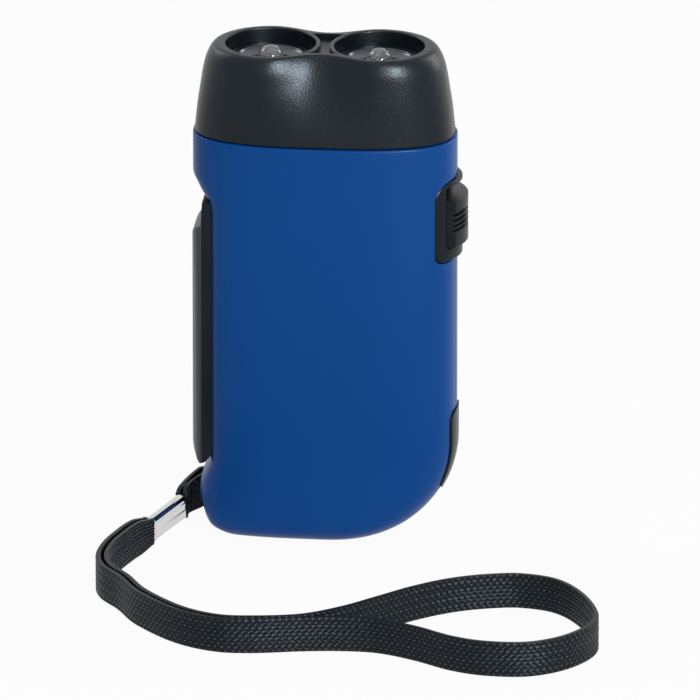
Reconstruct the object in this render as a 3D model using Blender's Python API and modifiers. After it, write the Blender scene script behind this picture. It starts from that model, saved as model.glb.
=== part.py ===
# Hand-press dynamo flashlight with a wrist strap, standing upright on its flat bottom.
# Metres, +Z up. The lens end points up, the front faces -Y, the press lever is on -X and
# the slide switch on +X. The origin is on the flat bottom of the rear shell.

import math

import bmesh
import bpy
from mathutils import Matrix, Vector

# Fits shared by the whole object
GAP = 0.0003
OVERRUN = 0.003

# Housing: two moulded shells that part on a plane just in front of the middle
HALF_WIDTH = 0.026
HALF_DEPTH = 0.01265
SEAM_Z = 0.0825
CORNER_SHARPNESS = 2.7
LEFT_BLEND = 14.0
PARTING_Y = -0.002
WALL = 0.0018
BOTTOM_FILLET = 0.005
RIGHT_CORNER_RADIUS = 0.020
RING_POINTS = 48
CAVITY_RING_POINTS = 28
# Left edge of the shells: (height, width), each as a share of the seam height and half width
LEFT_WAIST_SHARE = 0.8566
LEFT_EDGE_SHARES = (
    (0.0, 0.692), (0.0255, 0.878), (0.063, 0.949), (0.0958, 0.9885), (0.1236, 0.9747),
    (0.155, 0.915), (0.183, 0.8696), (0.218, LEFT_WAIST_SHARE), (0.80, LEFT_WAIST_SHARE), (0.842, 0.875),
    (0.851, 0.9116), (0.862, 0.9555), (0.8836, 1.044), (0.909, 1.25), (1.0, 1.25),
)
FILLET_SHARES = (0.0, 0.08, 0.25, 0.55, 1.0)
CORNER_SHARES = (0.15, 0.4, 0.6, 0.8, 1.0)

# Strap anchor in the rear shell
ANCHOR_X_SHARE = 0.8077
ANCHOR_X = -HALF_WIDTH * ANCHOR_X_SHARE
ANCHOR_Y = 0.0032
ANCHOR_PIN_RADIUS = 0.0011
ANCHOR_SLOT_REACH = 0.0034
ANCHOR_SLOT_INNER_X = ANCHOR_X + ANCHOR_SLOT_REACH
ANCHOR_SLOT_REAR_REACH = 0.0038
ANCHOR_SLOT_REAR_Y = ANCHOR_Y + ANCHOR_SLOT_REAR_REACH
ANCHOR_SLOT_LOW_Z = 0.0026
ANCHOR_SLOT_HEIGHT = 0.0082
ANCHOR_SLOT_HIGH_Z = ANCHOR_SLOT_LOW_Z + ANCHOR_SLOT_HEIGHT
ANCHOR_PIN_SINK = 0.0010
ANCHOR_PIN_FOOT = 0.0003

# Hollow inside the shells
LEFT_WALL = 0.00197
FOOT_WALL = 0.0031
CAVITY_LEFT = HALF_WIDTH * LEFT_WAIST_SHARE - LEFT_WALL
CAVITY_FOOT_LEFT = -ANCHOR_SLOT_INNER_X - FOOT_WALL
FOOT_ROOF = 0.0027
FOOT_TOP_Z = ANCHOR_SLOT_HIGH_Z + FOOT_ROOF
CAP_WALL = 0.002
CAVITY_TOP_Z = SEAM_Z - CAP_WALL

# Head cover with its two lamp cups, which are set out from its top
HEAD_HEIGHT = 0.0178
TOP_Z = SEAM_Z + HEAD_HEIGHT
HEAD_TOP_WIDTH_SHARE = 0.8308
HEAD_TOP_DEPTH_SHARE = 0.8063
HEAD_TOP_HALF_WIDTH = HALF_WIDTH * HEAD_TOP_WIDTH_SHARE
HEAD_TOP_HALF_DEPTH = HALF_DEPTH * HEAD_TOP_DEPTH_SHARE
# Head sections: height share from seam to top, width and depth as shares of the housing's
HEAD_SECTION_SHARES = (
    (0.0, 0.985, 1.0), (0.16, 0.974, 0.996), (0.31, 0.963, 0.988), (0.5, 0.944, 0.972),
    (0.70, 0.923, 0.941), (0.82, 0.904, 0.917), (0.927, 0.873, 0.870), (0.975, 0.849, 0.832),
    (1.0, 0.819, 0.795),
)
PEANUT_WAIST_SHARE = 0.686
PEANUT_POWER = 1.5
HEAD_LIP = 0.0004
CUP_WALL = 0.0009
CUP_LEDGE = 0.0013
CUP_INSET = 0.0001
CUP_X = HEAD_TOP_HALF_WIDTH / 2 - CUP_INSET
CUP_RING_RADIUS = HEAD_TOP_HALF_DEPTH - HEAD_LIP
CUP_RADIUS = CUP_RING_RADIUS - CUP_WALL
CUP_BORE_RADIUS = CUP_RADIUS - CUP_LEDGE
CUP_DEPTH = 0.0044
CUP_LEDGE_Z = TOP_Z - CUP_DEPTH
HEAD_ROOF = 0.0065
HEAD_CAVITY_TOP_Z = TOP_Z - HEAD_ROOF
RECESS_DEPTH = 0.001
RECESS_HALF_WIDTH = 0.0055
RECESS_HALF_DEPTH = 0.006

# Neck of the shells under the lamp board
NECK_STEP = 0.0034
NECK_HALF_WIDTH = HALF_WIDTH - NECK_STEP
NECK_DEPTH_STEP = 0.00325
NECK_HALF_DEPTH = HALF_DEPTH - NECK_DEPTH_STEP
NECK_WALL = 0.0016
LAMP_ROOM = 0.0049
NECK_TOP_Z = HEAD_CAVITY_TOP_Z - LAMP_ROOM

# Case screws, driven in from the rear: places in X and Z as shares of half width and seam height
SCREW_SHARES = ((-0.7115, 0.9212), (0.75, 0.9455), (0.6346, 0.1515), (-0.4615, 0.0788))
SCREW_PLACES = [(HALF_WIDTH * across, SEAM_Z * up) for across, up in SCREW_SHARES]
SCREW_BOSS_RADIUS = 0.00275
SCREW_SHAFT_RADIUS = 0.0011
SCREW_HEAD_RADIUS = 0.002
SCREW_HEAD_HEIGHT = 0.0016
SCREW_COUNTERBORE = 0.00565
SCREW_SEAT_Y = HALF_DEPTH - SCREW_COUNTERBORE
SCREW_TIP_COVER = 0.00585
SCREW_TIP_Y = SCREW_TIP_COVER - HALF_DEPTH
SCREW_SLOT_WIDTH = 0.0006
SCREW_SLOT_DEPTH = 0.0007

# Lamps: dished reflectors, clear bulbs and their board
REFLECTOR_THICKNESS = 0.0011
REFLECTOR_SINK = 0.0029
REFLECTOR_RIM_Z = TOP_Z - REFLECTOR_SINK
REFLECTOR_DISH_DEPTH = 0.001
LED_RADIUS = 0.0025
LED_FLANGE_STEP = 0.0004
REFLECTOR_HOLE_RADIUS = LED_RADIUS + LED_FLANGE_STEP
LED_SINK = 0.0006
LED_TOP_Z = TOP_Z - LED_SINK
LED_FLANGE_HEIGHT = 0.001
BOARD_THICKNESS = 0.0012

# Press lever, hinged at its lower end in a slot of the shells
PIVOT_INSET = 0.009
PIVOT_X = PIVOT_INSET - HALF_WIDTH
PIVOT_Z = 0.020
SLOT_FOOT = 0.0044
SLOT_LOW_Z = PIVOT_Z - SLOT_FOOT
SLOT_TOP_SHARE = 0.8485
SLOT_HIGH_Z = SEAM_Z * SLOT_TOP_SHARE
SLOT_REACH = 0.003
SLOT_INNER_X = PIVOT_X + SLOT_REACH
SLOT_CORNER = 0.0008
LEVER_PROUD = 0.0001
LEVER_OUTER_X = -HALF_WIDTH - LEVER_PROUD
LEVER_WEB = 0.0018
LEVER_DEPTH_INSET = 0.00535
LEVER_HALF_DEPTH = HALF_DEPTH - LEVER_DEPTH_INSET
LEVER_SIDE_WALL = 0.0015
LEVER_SIDE_DEPTH = 0.0056
LEVER_SIDE_X = LEVER_OUTER_X + LEVER_SIDE_DEPTH
LEVER_BLOCK_DEPTH = 0.0079
LEVER_BLOCK_X = LEVER_OUTER_X + LEVER_BLOCK_DEPTH
LEVER_GRIP_DROP = 0.0096
LEVER_GRIP_TOP_Z = SLOT_HIGH_Z - LEVER_GRIP_DROP
LEVER_TIP_DROP = 0.001
LEVER_TIP_Z = SLOT_HIGH_Z - LEVER_TIP_DROP
LEVER_TIP_DEPTH = 0.0025
LEVER_TIP_X = LEVER_OUTER_X + LEVER_TIP_DEPTH
LEVER_FOOT_DROP = 0.0011
LEVER_LOW_Z = SLOT_LOW_Z - LEVER_FOOT_DROP
PIVOT_BOSS_RADIUS = 0.0032
LEVER_PIN_RADIUS = 0.001
LEVER_PIN_SINK = 0.0018
LEVER_PIN_HALF_LENGTH = LEVER_HALF_DEPTH + LEVER_PIN_SINK
STOP_LUG_RISE = 0.0023
STOP_LUG_TOP_Z = SLOT_HIGH_Z + STOP_LUG_RISE
STOP_LUG_HALF_DEPTH = 0.0028

# Return spring between the lever and a post of the rear shell
SPRING_RISE = 0.030
SPRING_Z = PIVOT_Z + SPRING_RISE
SPRING_RADIUS = 0.0021
SPRING_WIRE_RADIUS = 0.00025
SPRING_SIDE_GAP = 0.00045
SPRING_Y = LEVER_HALF_DEPTH - LEVER_SIDE_WALL - SPRING_SIDE_GAP - SPRING_RADIUS - SPRING_WIRE_RADIUS
SPRING_TURNS = 6
SPRING_ROOM = 0.0105
SPRING_SEAT_X = LEVER_OUTER_X + LEVER_WEB + SPRING_ROOM
SPRING_POST_THICKNESS = 0.0014
SPRING_POST_HALF_HEIGHT = 0.003
SPRING_STUD_RADIUS = 0.0012
SPRING_STUD_LENGTH = 0.0016

# Gear train: module and tooth counts, first pair to last pair
SECTOR_MODULE = 0.001
SECTOR_TEETH = 44
SECTOR_TOOTH_RUN = 4
FIRST_PINION_TEETH = 10
SECOND_MODULE = 0.0008
FIRST_WHEEL_TEETH = 32
SECOND_PINION_TEETH = 10
THIRD_MODULE = 0.0006
SECOND_WHEEL_TEETH = 30
ROTOR_PINION_TEETH = 10
PRESSURE_ANGLE = math.radians(20)
WHEEL_ADDENDUM_SHARE = 0.6
PINION_ADDENDUM_SHARE = 0.95
DEDENDUM_SHARE = 1.25
BACKLASH_SHARE = 0.10
SECTOR_TO_FIRST_ANGLE = math.radians(61.9)
FIRST_TO_SECOND_ANGLE = math.radians(60.0)
SECOND_TO_ROTOR_ANGLE = math.radians(-60.1)
AXLE_RADIUS = 0.001
BEARING_GAP = 0.00025

# Gear plates, held on pegs of the shells; margins run from the outer axles to the edges
PLATE_THICKNESS = 0.0015
PLATE_ROOM = 0.00235
PLATE_FACE_Y = HALF_DEPTH - WALL - PLATE_ROOM - PLATE_THICKNESS
PLATE_LEFT_MARGIN = 0.0077
PLATE_RIGHT_MARGIN = 0.0055
PLATE_LOW_MARGIN = 0.0058
PLATE_HIGH_MARGIN = 0.0066
PLATE_SLOPE_SHARES = (0.362, 0.519)
PEG_SHARES = ((0.0906, 0.426), (0.9058, 0.1111), (0.7971, 0.9074))
PEG_RADIUS = 0.0009
PEG_BOSS_RADIUS = 0.0022
AXLE_END_GAP = 0.0002
AXLE_HALF_LENGTH = PLATE_FACE_Y + PLATE_THICKNESS - AXLE_END_GAP

# Layers of the train along Y, front and rear, as shares of the room to each gear plate
SECTOR_LAYER_SHARES = (-0.9286, -0.5571)
FIRST_WHEEL_LAYER_SHARES = (-0.4857, -0.2286)
SECOND_WHEEL_LAYER_SHARES = (-0.1286, 0.1286)
MAGNET_LAYER_SHARES = (0.3714, 0.9143)
STATOR_LAYER_SHARES = (0.3714, 0.9571)
SECTOR_LAYER, FIRST_WHEEL_LAYER, SECOND_WHEEL_LAYER, MAGNET_LAYER, STATOR_LAYER = [
    tuple(PLATE_FACE_Y * share for share in layer)
    for layer in (SECTOR_LAYER_SHARES, FIRST_WHEEL_LAYER_SHARES, SECOND_WHEEL_LAYER_SHARES,
                  MAGNET_LAYER_SHARES, STATOR_LAYER_SHARES)
]

# Generator
MAGNET_RADIUS = 0.007
AIR_GAP = 0.0006
STATOR_WIDTH = 0.0029
POLE_HALF_ANGLE = math.radians(58)
COIL_DROP = 0.023
COIL_HALF_LENGTH = 0.0056
COIL_CORE_HALF_HEIGHT = 0.0016
COIL_SLEEVE = 0.0006
COIL_BUILD = 0.0005
SLEEVE_RADIUS = math.hypot((STATOR_LAYER[1] - STATOR_LAYER[0]) / 2, COIL_CORE_HALF_HEIGHT) + COIL_SLEEVE
COIL_RADIUS = SLEEVE_RADIUS + GAP + COIL_BUILD
BOBBIN_LIP = 0.0003
BOBBIN_FLANGE_RADIUS = COIL_RADIUS + BOBBIN_LIP
BOBBIN_FLANGE = 0.0006

# Slide switch on the right side
SWITCH_HEIGHT = 0.0145
SWITCH_COVER = 0.00125
SWITCH_LOW_Z = SCREW_PLACES[1][1] - SCREW_BOSS_RADIUS - SWITCH_COVER - SWITCH_HEIGHT
SWITCH_RISE = 0.0015
BEZEL_LOW_Z = SWITCH_LOW_Z - SWITCH_RISE
BEZEL_HEIGHT = 0.0162
BEZEL_HIGH_Z = BEZEL_LOW_Z + BEZEL_HEIGHT
BEZEL_DEPTH_INSET = 0.00455
BEZEL_HALF_DEPTH = HALF_DEPTH - BEZEL_DEPTH_INSET
BEZEL_CORNER = 0.003
BEZEL_SINK = 0.0035
BEZEL_INNER_X = HALF_WIDTH - BEZEL_SINK
BEZEL_PROUD = 0.0011
BEZEL_CROWN_X = HALF_WIDTH + BEZEL_PROUD
BEZEL_CROWN_SHARE = 1.852
BEZEL_CROWN_HALF_DEPTH = BEZEL_HALF_DEPTH * BEZEL_CROWN_SHARE
KNOB_FOOT = 0.0029
KNOB_LOW_Z = BEZEL_LOW_Z + KNOB_FOOT
KNOB_HEIGHT = 0.0095
KNOB_HIGH_Z = KNOB_LOW_Z + KNOB_HEIGHT
BEZEL_RIM = 0.0021
KNOB_HALF_DEPTH = BEZEL_HALF_DEPTH - BEZEL_RIM
KNOB_PROUD = 0.0011
KNOB_CROWN_X = BEZEL_CROWN_X + KNOB_PROUD
KNOB_CROWN_DROP = 0.0020
KNOB_SINK = 0.0004
KNOB_INNER_X = BEZEL_INNER_X + KNOB_SINK
KNOB_TRAVEL = 0.0025
GROOVE_START = 0.0035
GROOVE_FIRST_Z = KNOB_LOW_Z + GROOVE_START
GROOVE_PITCH = 0.00103
GROOVE_COUNT = 4
GROOVE_WIDTH = 0.00055
GROOVE_DEPTH = 0.0007
SWITCH_WIDTH = 0.006
SWITCH_GAP = 0.001
SWITCH_RIGHT_X = BEZEL_INNER_X - SWITCH_GAP
SWITCH_LEFT_X = SWITCH_RIGHT_X - SWITCH_WIDTH
SWITCH_HALF_DEPTH = 0.0036
SWITCH_SLOT_DEPTH = 0.003
STEM_HALF_DEPTH = 0.001
STEM_HALF_HEIGHT = 0.001
STEM_LENGTH = 0.0033
SWITCH_SHELF_THICKNESS = 0.0014
SWITCH_SHELF_WIDTH = 0.0051
SWITCH_SHELF_LEFT_X = SWITCH_RIGHT_X - SWITCH_SHELF_WIDTH
SWITCH_SHELF_INNER_Y = 0.0022

# Battery pack of button cells, lying in a cradle under the neck
CELL_RADIUS = 0.00575
CELL_HEIGHT = 0.0054
CELL_COUNT = 3
CELL_MIDDLE_X = 0.003
CELL_DROP = 0.0057
CELL_AXIS_Z = SEAM_Z - CELL_DROP
CRADLE_WALL = 0.00135
CRADLE_HALF_DEPTH = CELL_RADIUS + CRADLE_WALL
CRADLE_FLOOR = 0.00145
CRADLE_LOW_Z = CELL_AXIS_Z - CELL_RADIUS - CRADLE_FLOOR
CRADLE_END_WALL = 0.0012
CRADLE_SHELF_THICKNESS = 0.0013
CRADLE_SHELF_REAR_Y = 0.0013
CRADLE_SHELF_FRONT_Y = -0.004

# Plug over the socket low on the right side
PLUG_LOW_Z = 0.010
PLUG_HEIGHT = 0.016
PLUG_HIGH_Z = PLUG_LOW_Z + PLUG_HEIGHT
PLUG_HALF_DEPTH = 0.005
PLUG_CORNER = 0.002
PLUG_PROUD = 0.00035
PLUG_DEPTH = 0.0009
PLUG_REACH = 0.014
PLUG_INNER_X = HALF_WIDTH - PLUG_REACH

# Strap: its routes are measured from the anchor pin
STRAP_WIDTH = 0.007
STRAP_THICKNESS = 0.0012
STRAP_PLY_PITCH = 0.0016
STRAP_FLOOR_GAP = 0.0002
STRAP_STEP = 0.004
TAB_MIDDLE_Z = (ANCHOR_SLOT_LOW_Z + ANCHOR_SLOT_HIGH_Z) / 2
TAB_LEVEL_SHARE = 0.4
CRIMP_RADIUS = 0.00145
CRIMP_TUBE_PITCH = 0.0024
CRIMP_START = (-0.0074, -0.0054)
CRIMP_END = (-0.0122, -0.0198)
# Route of the doubled strap along the floor, from the crimp to where it opens
LEAD_ROUTE = (
    (-0.0125, -0.0206), (-0.0146, -0.0246), (-0.0162, -0.0288), (-0.0183, -0.0362),
    (-0.0189, -0.0432), (-0.0175, -0.0492), (-0.0135, -0.0552), (-0.0091, -0.0633),
    (-0.0011, -0.0721), (0.0065, -0.0762), (0.0136, -0.0765), (0.0232, -0.0746),
)
# Route of the open loop: out along the near strand and back along the far one
LOOP_ROUTE = (
    (0.0242, -0.0754), (0.0310, -0.0745), (0.0383, -0.0750), (0.0458, -0.0784),
    (0.0534, -0.0833), (0.0607, -0.0855), (0.0692, -0.0848), (0.0764, -0.0792),
    (0.0802, -0.0702), (0.0774, -0.0590), (0.0715, -0.0500), (0.0641, -0.0470),
    (0.0571, -0.0480), (0.0503, -0.0509), (0.0436, -0.0559), (0.0371, -0.0624),
    (0.0306, -0.0688), (0.0244, -0.0728),
)

# Finish
SMOOTH_ANGLE = math.radians(38)
ROUND_SEGMENTS = 28
SMALL_SEGMENTS = 12
CUP_SEGMENTS = 40
CROWN_SEGMENTS = 72
EDGE_ROUND = 0.0003


# Scene, collections and materials

def clear_scene():
    """Remove every object and leave one collection for parts and one for cutters."""
    for old in list(bpy.data.objects):
        bpy.data.objects.remove(old, do_unlink=True)
    parts = bpy.data.collections.new("press_flashlight")
    cutters = bpy.data.collections.new("cutters")
    for group in (parts, cutters):
        bpy.context.scene.collection.children.link(group)
    return parts, cutters


PARTS, CUTTERS = clear_scene()


def plain_material(name, colour, roughness, metallic=0.0):
    """A Principled material with one colour."""
    material = bpy.data.materials.new(name)
    material.use_nodes = True
    shader = material.node_tree.nodes["Principled BSDF"]
    shader.inputs["Base Color"].default_value = (*colour, 1.0)
    shader.inputs["Roughness"].default_value = roughness
    shader.inputs["Metallic"].default_value = metallic
    return material


LOOKS = {
    "blue": ((0.005, 0.08, 0.42), 0.22, 0.0),
    "black": ((0.012, 0.012, 0.013), 0.45, 0.0),
    "satin": ((0.02, 0.02, 0.022), 0.38, 0.0),
    "dark": ((0.03, 0.03, 0.035), 0.3, 0.0),
    "clear": ((0.85, 0.9, 0.92), 0.08, 0.0),
    "white": ((0.75, 0.75, 0.72), 0.4, 0.0),
    "green": ((0.03, 0.2, 0.07), 0.5, 0.0),
    "steel": ((0.6, 0.6, 0.62), 0.28, 1.0),
    "magnet": ((0.12, 0.12, 0.13), 0.5, 0.6),
    "copper": ((0.72, 0.32, 0.13), 0.32, 1.0),
    "nylon": ((0.015, 0.015, 0.016), 0.8, 0.0),
}


def finish(piece, look):
    """Give a piece its own material and put it among the parts."""
    colour, roughness, metallic = LOOKS[look]
    piece.data.materials.clear()
    piece.data.materials.append(plain_material(piece.name, colour, roughness, metallic))
    piece.data.shade_smooth()
    piece.data.set_sharp_from_angle(angle=SMOOTH_ANGLE)
    for group in list(piece.users_collection):
        group.objects.unlink(piece)
    PARTS.objects.link(piece)
    return piece


def new_object(name, mesh):
    """An object made as a cutter until finish() makes it a part."""
    piece = bpy.data.objects.new(name, mesh)
    piece.hide_render = False
    CUTTERS.objects.link(piece)
    return piece


def object_from(name, build):
    """A mesh object from a function that fills a bmesh."""
    shape = bmesh.new()
    build(shape)
    bmesh.ops.recalc_face_normals(shape, faces=shape.faces)
    mesh = bpy.data.meshes.new(name)
    shape.to_mesh(mesh)
    shape.free()
    return new_object(name, mesh)


# Basic solids

def box(name, low, high):
    """A box between two corners."""
    size = Vector(high) - Vector(low)
    middle = (Vector(high) + Vector(low)) / 2
    place = Matrix.Translation(middle) @ Matrix.Diagonal((*size, 1.0))
    return object_from(name, lambda shape: bmesh.ops.create_cube(shape, size=1.0, matrix=place))


def rod(name, start, end, radius, end_radius=None, segments=ROUND_SEGMENTS):
    """A cylinder or cone between two points."""
    start, end = Vector(start), Vector(end)
    run = end - start
    place = Matrix.Translation((start + end) / 2) @ run.to_track_quat("Z", "Y").to_matrix().to_4x4()
    tip = radius if end_radius is None else end_radius
    return object_from(name, lambda shape: bmesh.ops.create_cone(
        shape, cap_ends=True, segments=segments, radius1=radius, radius2=tip,
        depth=run.length, matrix=place))


def loft(name, rings):
    """A closed solid through rings of equal point counts, with flat ends."""
    def build(shape):
        rows = [[shape.verts.new(point) for point in ring] for ring in rings]
        count = len(rows[0])
        for lower, upper in zip(rows, rows[1:]):
            for step in range(count):
                following = (step + 1) % count
                shape.faces.new((lower[step], lower[following], upper[following], upper[step]))
        shape.faces.new(list(reversed(rows[0])))
        shape.faces.new(rows[-1])
    return object_from(name, build)


def turned(name, profile, middle_x, segments=ROUND_SEGMENTS):
    """A profile of (radius, height) points, turned about an upright axis by Screw."""
    mesh = bpy.data.meshes.new(name)
    points = [(radius, 0.0, height) for radius, height in profile]
    closed = profile[0][0] > 0 and profile[-1][0] > 0
    edges = [(step, step + 1) for step in range(len(points) - 1)]
    if closed:
        edges.append((len(points) - 1, 0))
    mesh.from_pydata(points, edges, [])
    piece = new_object(name, mesh)
    piece.location = (middle_x, 0.0, 0.0)
    turn = piece.modifiers.new("turn", "SCREW")
    turn.steps = segments
    turn.render_steps = segments
    turn.use_merge_vertices = True
    turn.merge_threshold = 0.00001
    return piece


def sheet_piece(name, outlines, low, high, facing, origin=(0.0, 0.0)):
    """Flat outlines with holes, thickened from low to high across the facing axis."""
    curve = bpy.data.curves.new(name, "CURVE")
    curve.dimensions = "2D"
    curve.fill_mode = "BOTH"
    curve.extrude = (high - low) / 2
    for outline in outlines:
        spline = curve.splines.new("POLY")
        spline.points.add(len(outline) - 1)
        for point, (across, up) in zip(spline.points, outline):
            point.co = (across - origin[0], up - origin[1], 0.0, 1.0)
        spline.use_cyclic_u = True
    flat = bpy.data.objects.new(name, curve)
    CUTTERS.objects.link(flat)
    middle = (low + high) / 2
    if facing == "Y":
        flat.location = (origin[0], middle, origin[1])
        flat.rotation_euler = (math.pi / 2, 0.0, 0.0)
    elif facing == "X":
        flat.location = (middle, origin[0], origin[1])
        flat.rotation_euler = (math.pi / 2, 0.0, math.pi / 2)
    else:
        flat.location = (origin[0], origin[1], middle)
    return meshed(flat)


def meshed(flat):
    """The same object as a closed mesh, with the caps of the curve welded on."""
    bpy.context.view_layer.update()
    evaluated = flat.evaluated_get(bpy.context.evaluated_depsgraph_get())
    mesh = bpy.data.meshes.new_from_object(evaluated)
    name, place = flat.name, flat.matrix_world.copy()
    bpy.data.objects.remove(flat, do_unlink=True)
    shape = bmesh.new()
    shape.from_mesh(mesh)
    bmesh.ops.remove_doubles(shape, verts=shape.verts, dist=0.000001)
    bmesh.ops.recalc_face_normals(shape, faces=shape.faces)
    shape.to_mesh(mesh)
    shape.free()
    piece = new_object(name, mesh)
    piece.matrix_world = place
    return piece


def circle(middle_x, middle_z, radius, segments=ROUND_SEGMENTS):
    """Points of a circle in a flat outline."""
    turns = [2 * math.pi * step / segments for step in range(segments)]
    return [(middle_x + radius * math.cos(turn), middle_z + radius * math.sin(turn))
            for turn in turns]


def arc(middle, radius, start, end, steps):
    """Points of an arc from one angle to another, both ends included."""
    turns = [start + (end - start) * step / steps for step in range(steps + 1)]
    return [(middle[0] + radius * math.cos(turn), middle[1] + radius * math.sin(turn))
            for turn in turns]


def rounded_rectangle(low, high, corner, steps=4):
    """Outline of a rectangle with round corners."""
    quarter = math.pi / 2
    corners = ((high[0], high[1], 0), (low[0], high[1], 1), (low[0], low[1], 2), (high[0], low[1], 3))
    outline = []
    for across, up, turn in corners:
        inward_x = -corner if turn in (0, 3) else corner
        inward_z = -corner if turn in (0, 1) else corner
        outline += arc((across + inward_x, up + inward_z), corner, turn * quarter,
                       (turn + 1) * quarter, steps)
    return outline


def shape_with(piece, operation, *tools):
    """Cut, join or intersect a piece with others by exact booleans."""
    for tool in tools:
        step = piece.modifiers.new(tool.name, "BOOLEAN")
        step.operation = operation
        step.solver = "EXACT"
        step.object = tool
        tool.hide_render = True
        tool.display_type = "WIRE"
    return piece


def cut(piece, *tools):
    return shape_with(piece, "DIFFERENCE", *tools)


def join(piece, *tools):
    return shape_with(piece, "UNION", *tools)


def trim(piece, *tools):
    return shape_with(piece, "INTERSECT", *tools)


def round_edges(piece, width=EDGE_ROUND, segments=2):
    """Round the sharp edges of a piece."""
    edge = piece.modifiers.new("round_edges", "BEVEL")
    edge.width = width
    edge.segments = segments
    edge.limit_method = "ANGLE"
    edge.angle_limit = SMOOTH_ANGLE
    return piece


def pivot(name, place, *pieces):
    """An empty on a joint's axis that carries the pieces that move about it."""
    holder = bpy.data.objects.new(name, None)
    holder.location = place
    PARTS.objects.link(holder)
    bpy.context.view_layer.update()
    for piece in pieces:
        piece.parent = holder
        piece.matrix_parent_inverse = holder.matrix_world.inverted()
    return holder


# Outer form of the housing

def left_width(z):
    """Where the left edge is pulled in, read between the rows of its table."""
    share = z / SEAM_Z
    for (low, low_width), (high, high_width) in zip(LEFT_EDGE_SHARES, LEFT_EDGE_SHARES[1:]):
        if share <= high + 0.0001:
            along = (share - low) / (high - low)
            return HALF_WIDTH * (low_width + (high_width - low_width) * along)
    return HALF_WIDTH * LEFT_EDGE_SHARES[-1][1]


def right_width(z, inset=0.0):
    """Half width on the right: a straight side above a large round corner."""
    radius = RIGHT_CORNER_RADIUS - inset
    if z >= RIGHT_CORNER_RADIUS:
        return HALF_WIDTH - inset
    rise = RIGHT_CORNER_RADIUS - z
    reach = math.sqrt(max(radius ** 2 - rise ** 2, 0.0))
    return HALF_WIDTH - RIGHT_CORNER_RADIUS + reach


def depth_at(z, inset=0.0):
    """Half depth, drawn in by the round edge at the bottom."""
    flat = HALF_DEPTH - BOTTOM_FILLET
    if z >= BOTTOM_FILLET:
        return HALF_DEPTH - inset
    radius = BOTTOM_FILLET - inset
    rise = BOTTOM_FILLET - z
    return flat + math.sqrt(max(radius ** 2 - rise ** 2, 0.0))


def super_ring(z, right, left, depth, count, clip=None):
    """A ring of a rounded box section; clip draws the left side in with a soft corner."""
    ring = []
    power = 2 / CORNER_SHARPNESS
    for step in range(count):
        turn = 2 * math.pi * (step + 0.5) / count
        across, back = math.cos(turn), math.sin(turn)
        reach = abs(across) ** power
        side = right if across > 0 else left
        x = reach * side
        if across < 0 and clip:
            x = (x ** -LEFT_BLEND + clip ** -LEFT_BLEND) ** (-1 / LEFT_BLEND)
        x = math.copysign(x, across)
        ring.append((x, math.copysign(abs(back) ** power * depth, back), z))
    return ring


def housing_form(name, grow=0.0):
    """Outer form of both shells in one piece, grown or shrunk evenly."""
    heights = {SEAM_Z * share for share, _ in LEFT_EDGE_SHARES}
    heights |= {BOTTOM_FILLET * share for share in FILLET_SHARES}
    heights |= {RIGHT_CORNER_RADIUS * share for share in CORNER_SHARES}
    rings = []
    last = None
    for z in sorted(heights):
        if last is not None and z - last < GAP:
            continue
        last = z
        rings.append(super_ring(z, right_width(z, -grow), HALF_WIDTH + grow,
                                depth_at(z, -grow), RING_POINTS, left_width(z) + grow))
    return loft(name, rings)


def hollow_form():
    """The main hollow, which narrows at the foot on the strap's side."""
    heights = [WALL, BOTTOM_FILLET * 0.55, BOTTOM_FILLET, RIGHT_CORNER_RADIUS * 0.4,
               FOOT_TOP_Z - GAP, FOOT_TOP_Z + GAP, RIGHT_CORNER_RADIUS, CAVITY_TOP_Z]
    rings = []
    for z in heights:
        left = CAVITY_FOOT_LEFT if z < FOOT_TOP_Z else CAVITY_LEFT
        rings.append(super_ring(z, right_width(z, WALL), left, depth_at(z, WALL),
                                CAVITY_RING_POINTS))
    return loft("hollow", rings)


def neck_form(name, inset, low, high):
    """The neck under the head, or its bore."""
    return loft(name, [super_ring(z, NECK_HALF_WIDTH - inset, NECK_HALF_WIDTH - inset,
                                  NECK_HALF_DEPTH - inset, CAVITY_RING_POINTS)
                       for z in (low, high)])


# Gear train geometry, worked out from the tooth counts

def pitch_radius(module, teeth):
    return module * teeth / 2


def step_from(place, distance, angle):
    """A place at a distance and angle from another, both in X and Z."""
    return (place[0] + distance * math.cos(angle), place[1] + distance * math.sin(angle))


LEVER_PIVOT = (PIVOT_X, PIVOT_Z)
FIRST_AXIS = step_from(LEVER_PIVOT, pitch_radius(SECTOR_MODULE, SECTOR_TEETH + FIRST_PINION_TEETH),
                       SECTOR_TO_FIRST_ANGLE)
SECOND_AXIS = step_from(FIRST_AXIS, pitch_radius(SECOND_MODULE, FIRST_WHEEL_TEETH + SECOND_PINION_TEETH),
                        FIRST_TO_SECOND_ANGLE)
ROTOR_AXIS = step_from(SECOND_AXIS, pitch_radius(THIRD_MODULE, SECOND_WHEEL_TEETH + ROTOR_PINION_TEETH),
                       SECOND_TO_ROTOR_ANGLE)
PLATE_LEFT_X, PLATE_RIGHT_X = FIRST_AXIS[0] - PLATE_LEFT_MARGIN, ROTOR_AXIS[0] + PLATE_RIGHT_MARGIN
PLATE_LOW_Z, PLATE_HIGH_Z = FIRST_AXIS[1] - PLATE_LOW_MARGIN, SECOND_AXIS[1] + PLATE_HIGH_MARGIN
COIL_Z = ROTOR_AXIS[1] - COIL_DROP


def on_plate(shares):
    """A place on the gear plates from shares of their width and height."""
    across, up = shares
    return (PLATE_LEFT_X + (PLATE_RIGHT_X - PLATE_LEFT_X) * across,
            PLATE_LOW_Z + (PLATE_HIGH_Z - PLATE_LOW_Z) * up)


PEG_PLACES = [on_plate(shares) for shares in PEG_SHARES]


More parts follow.
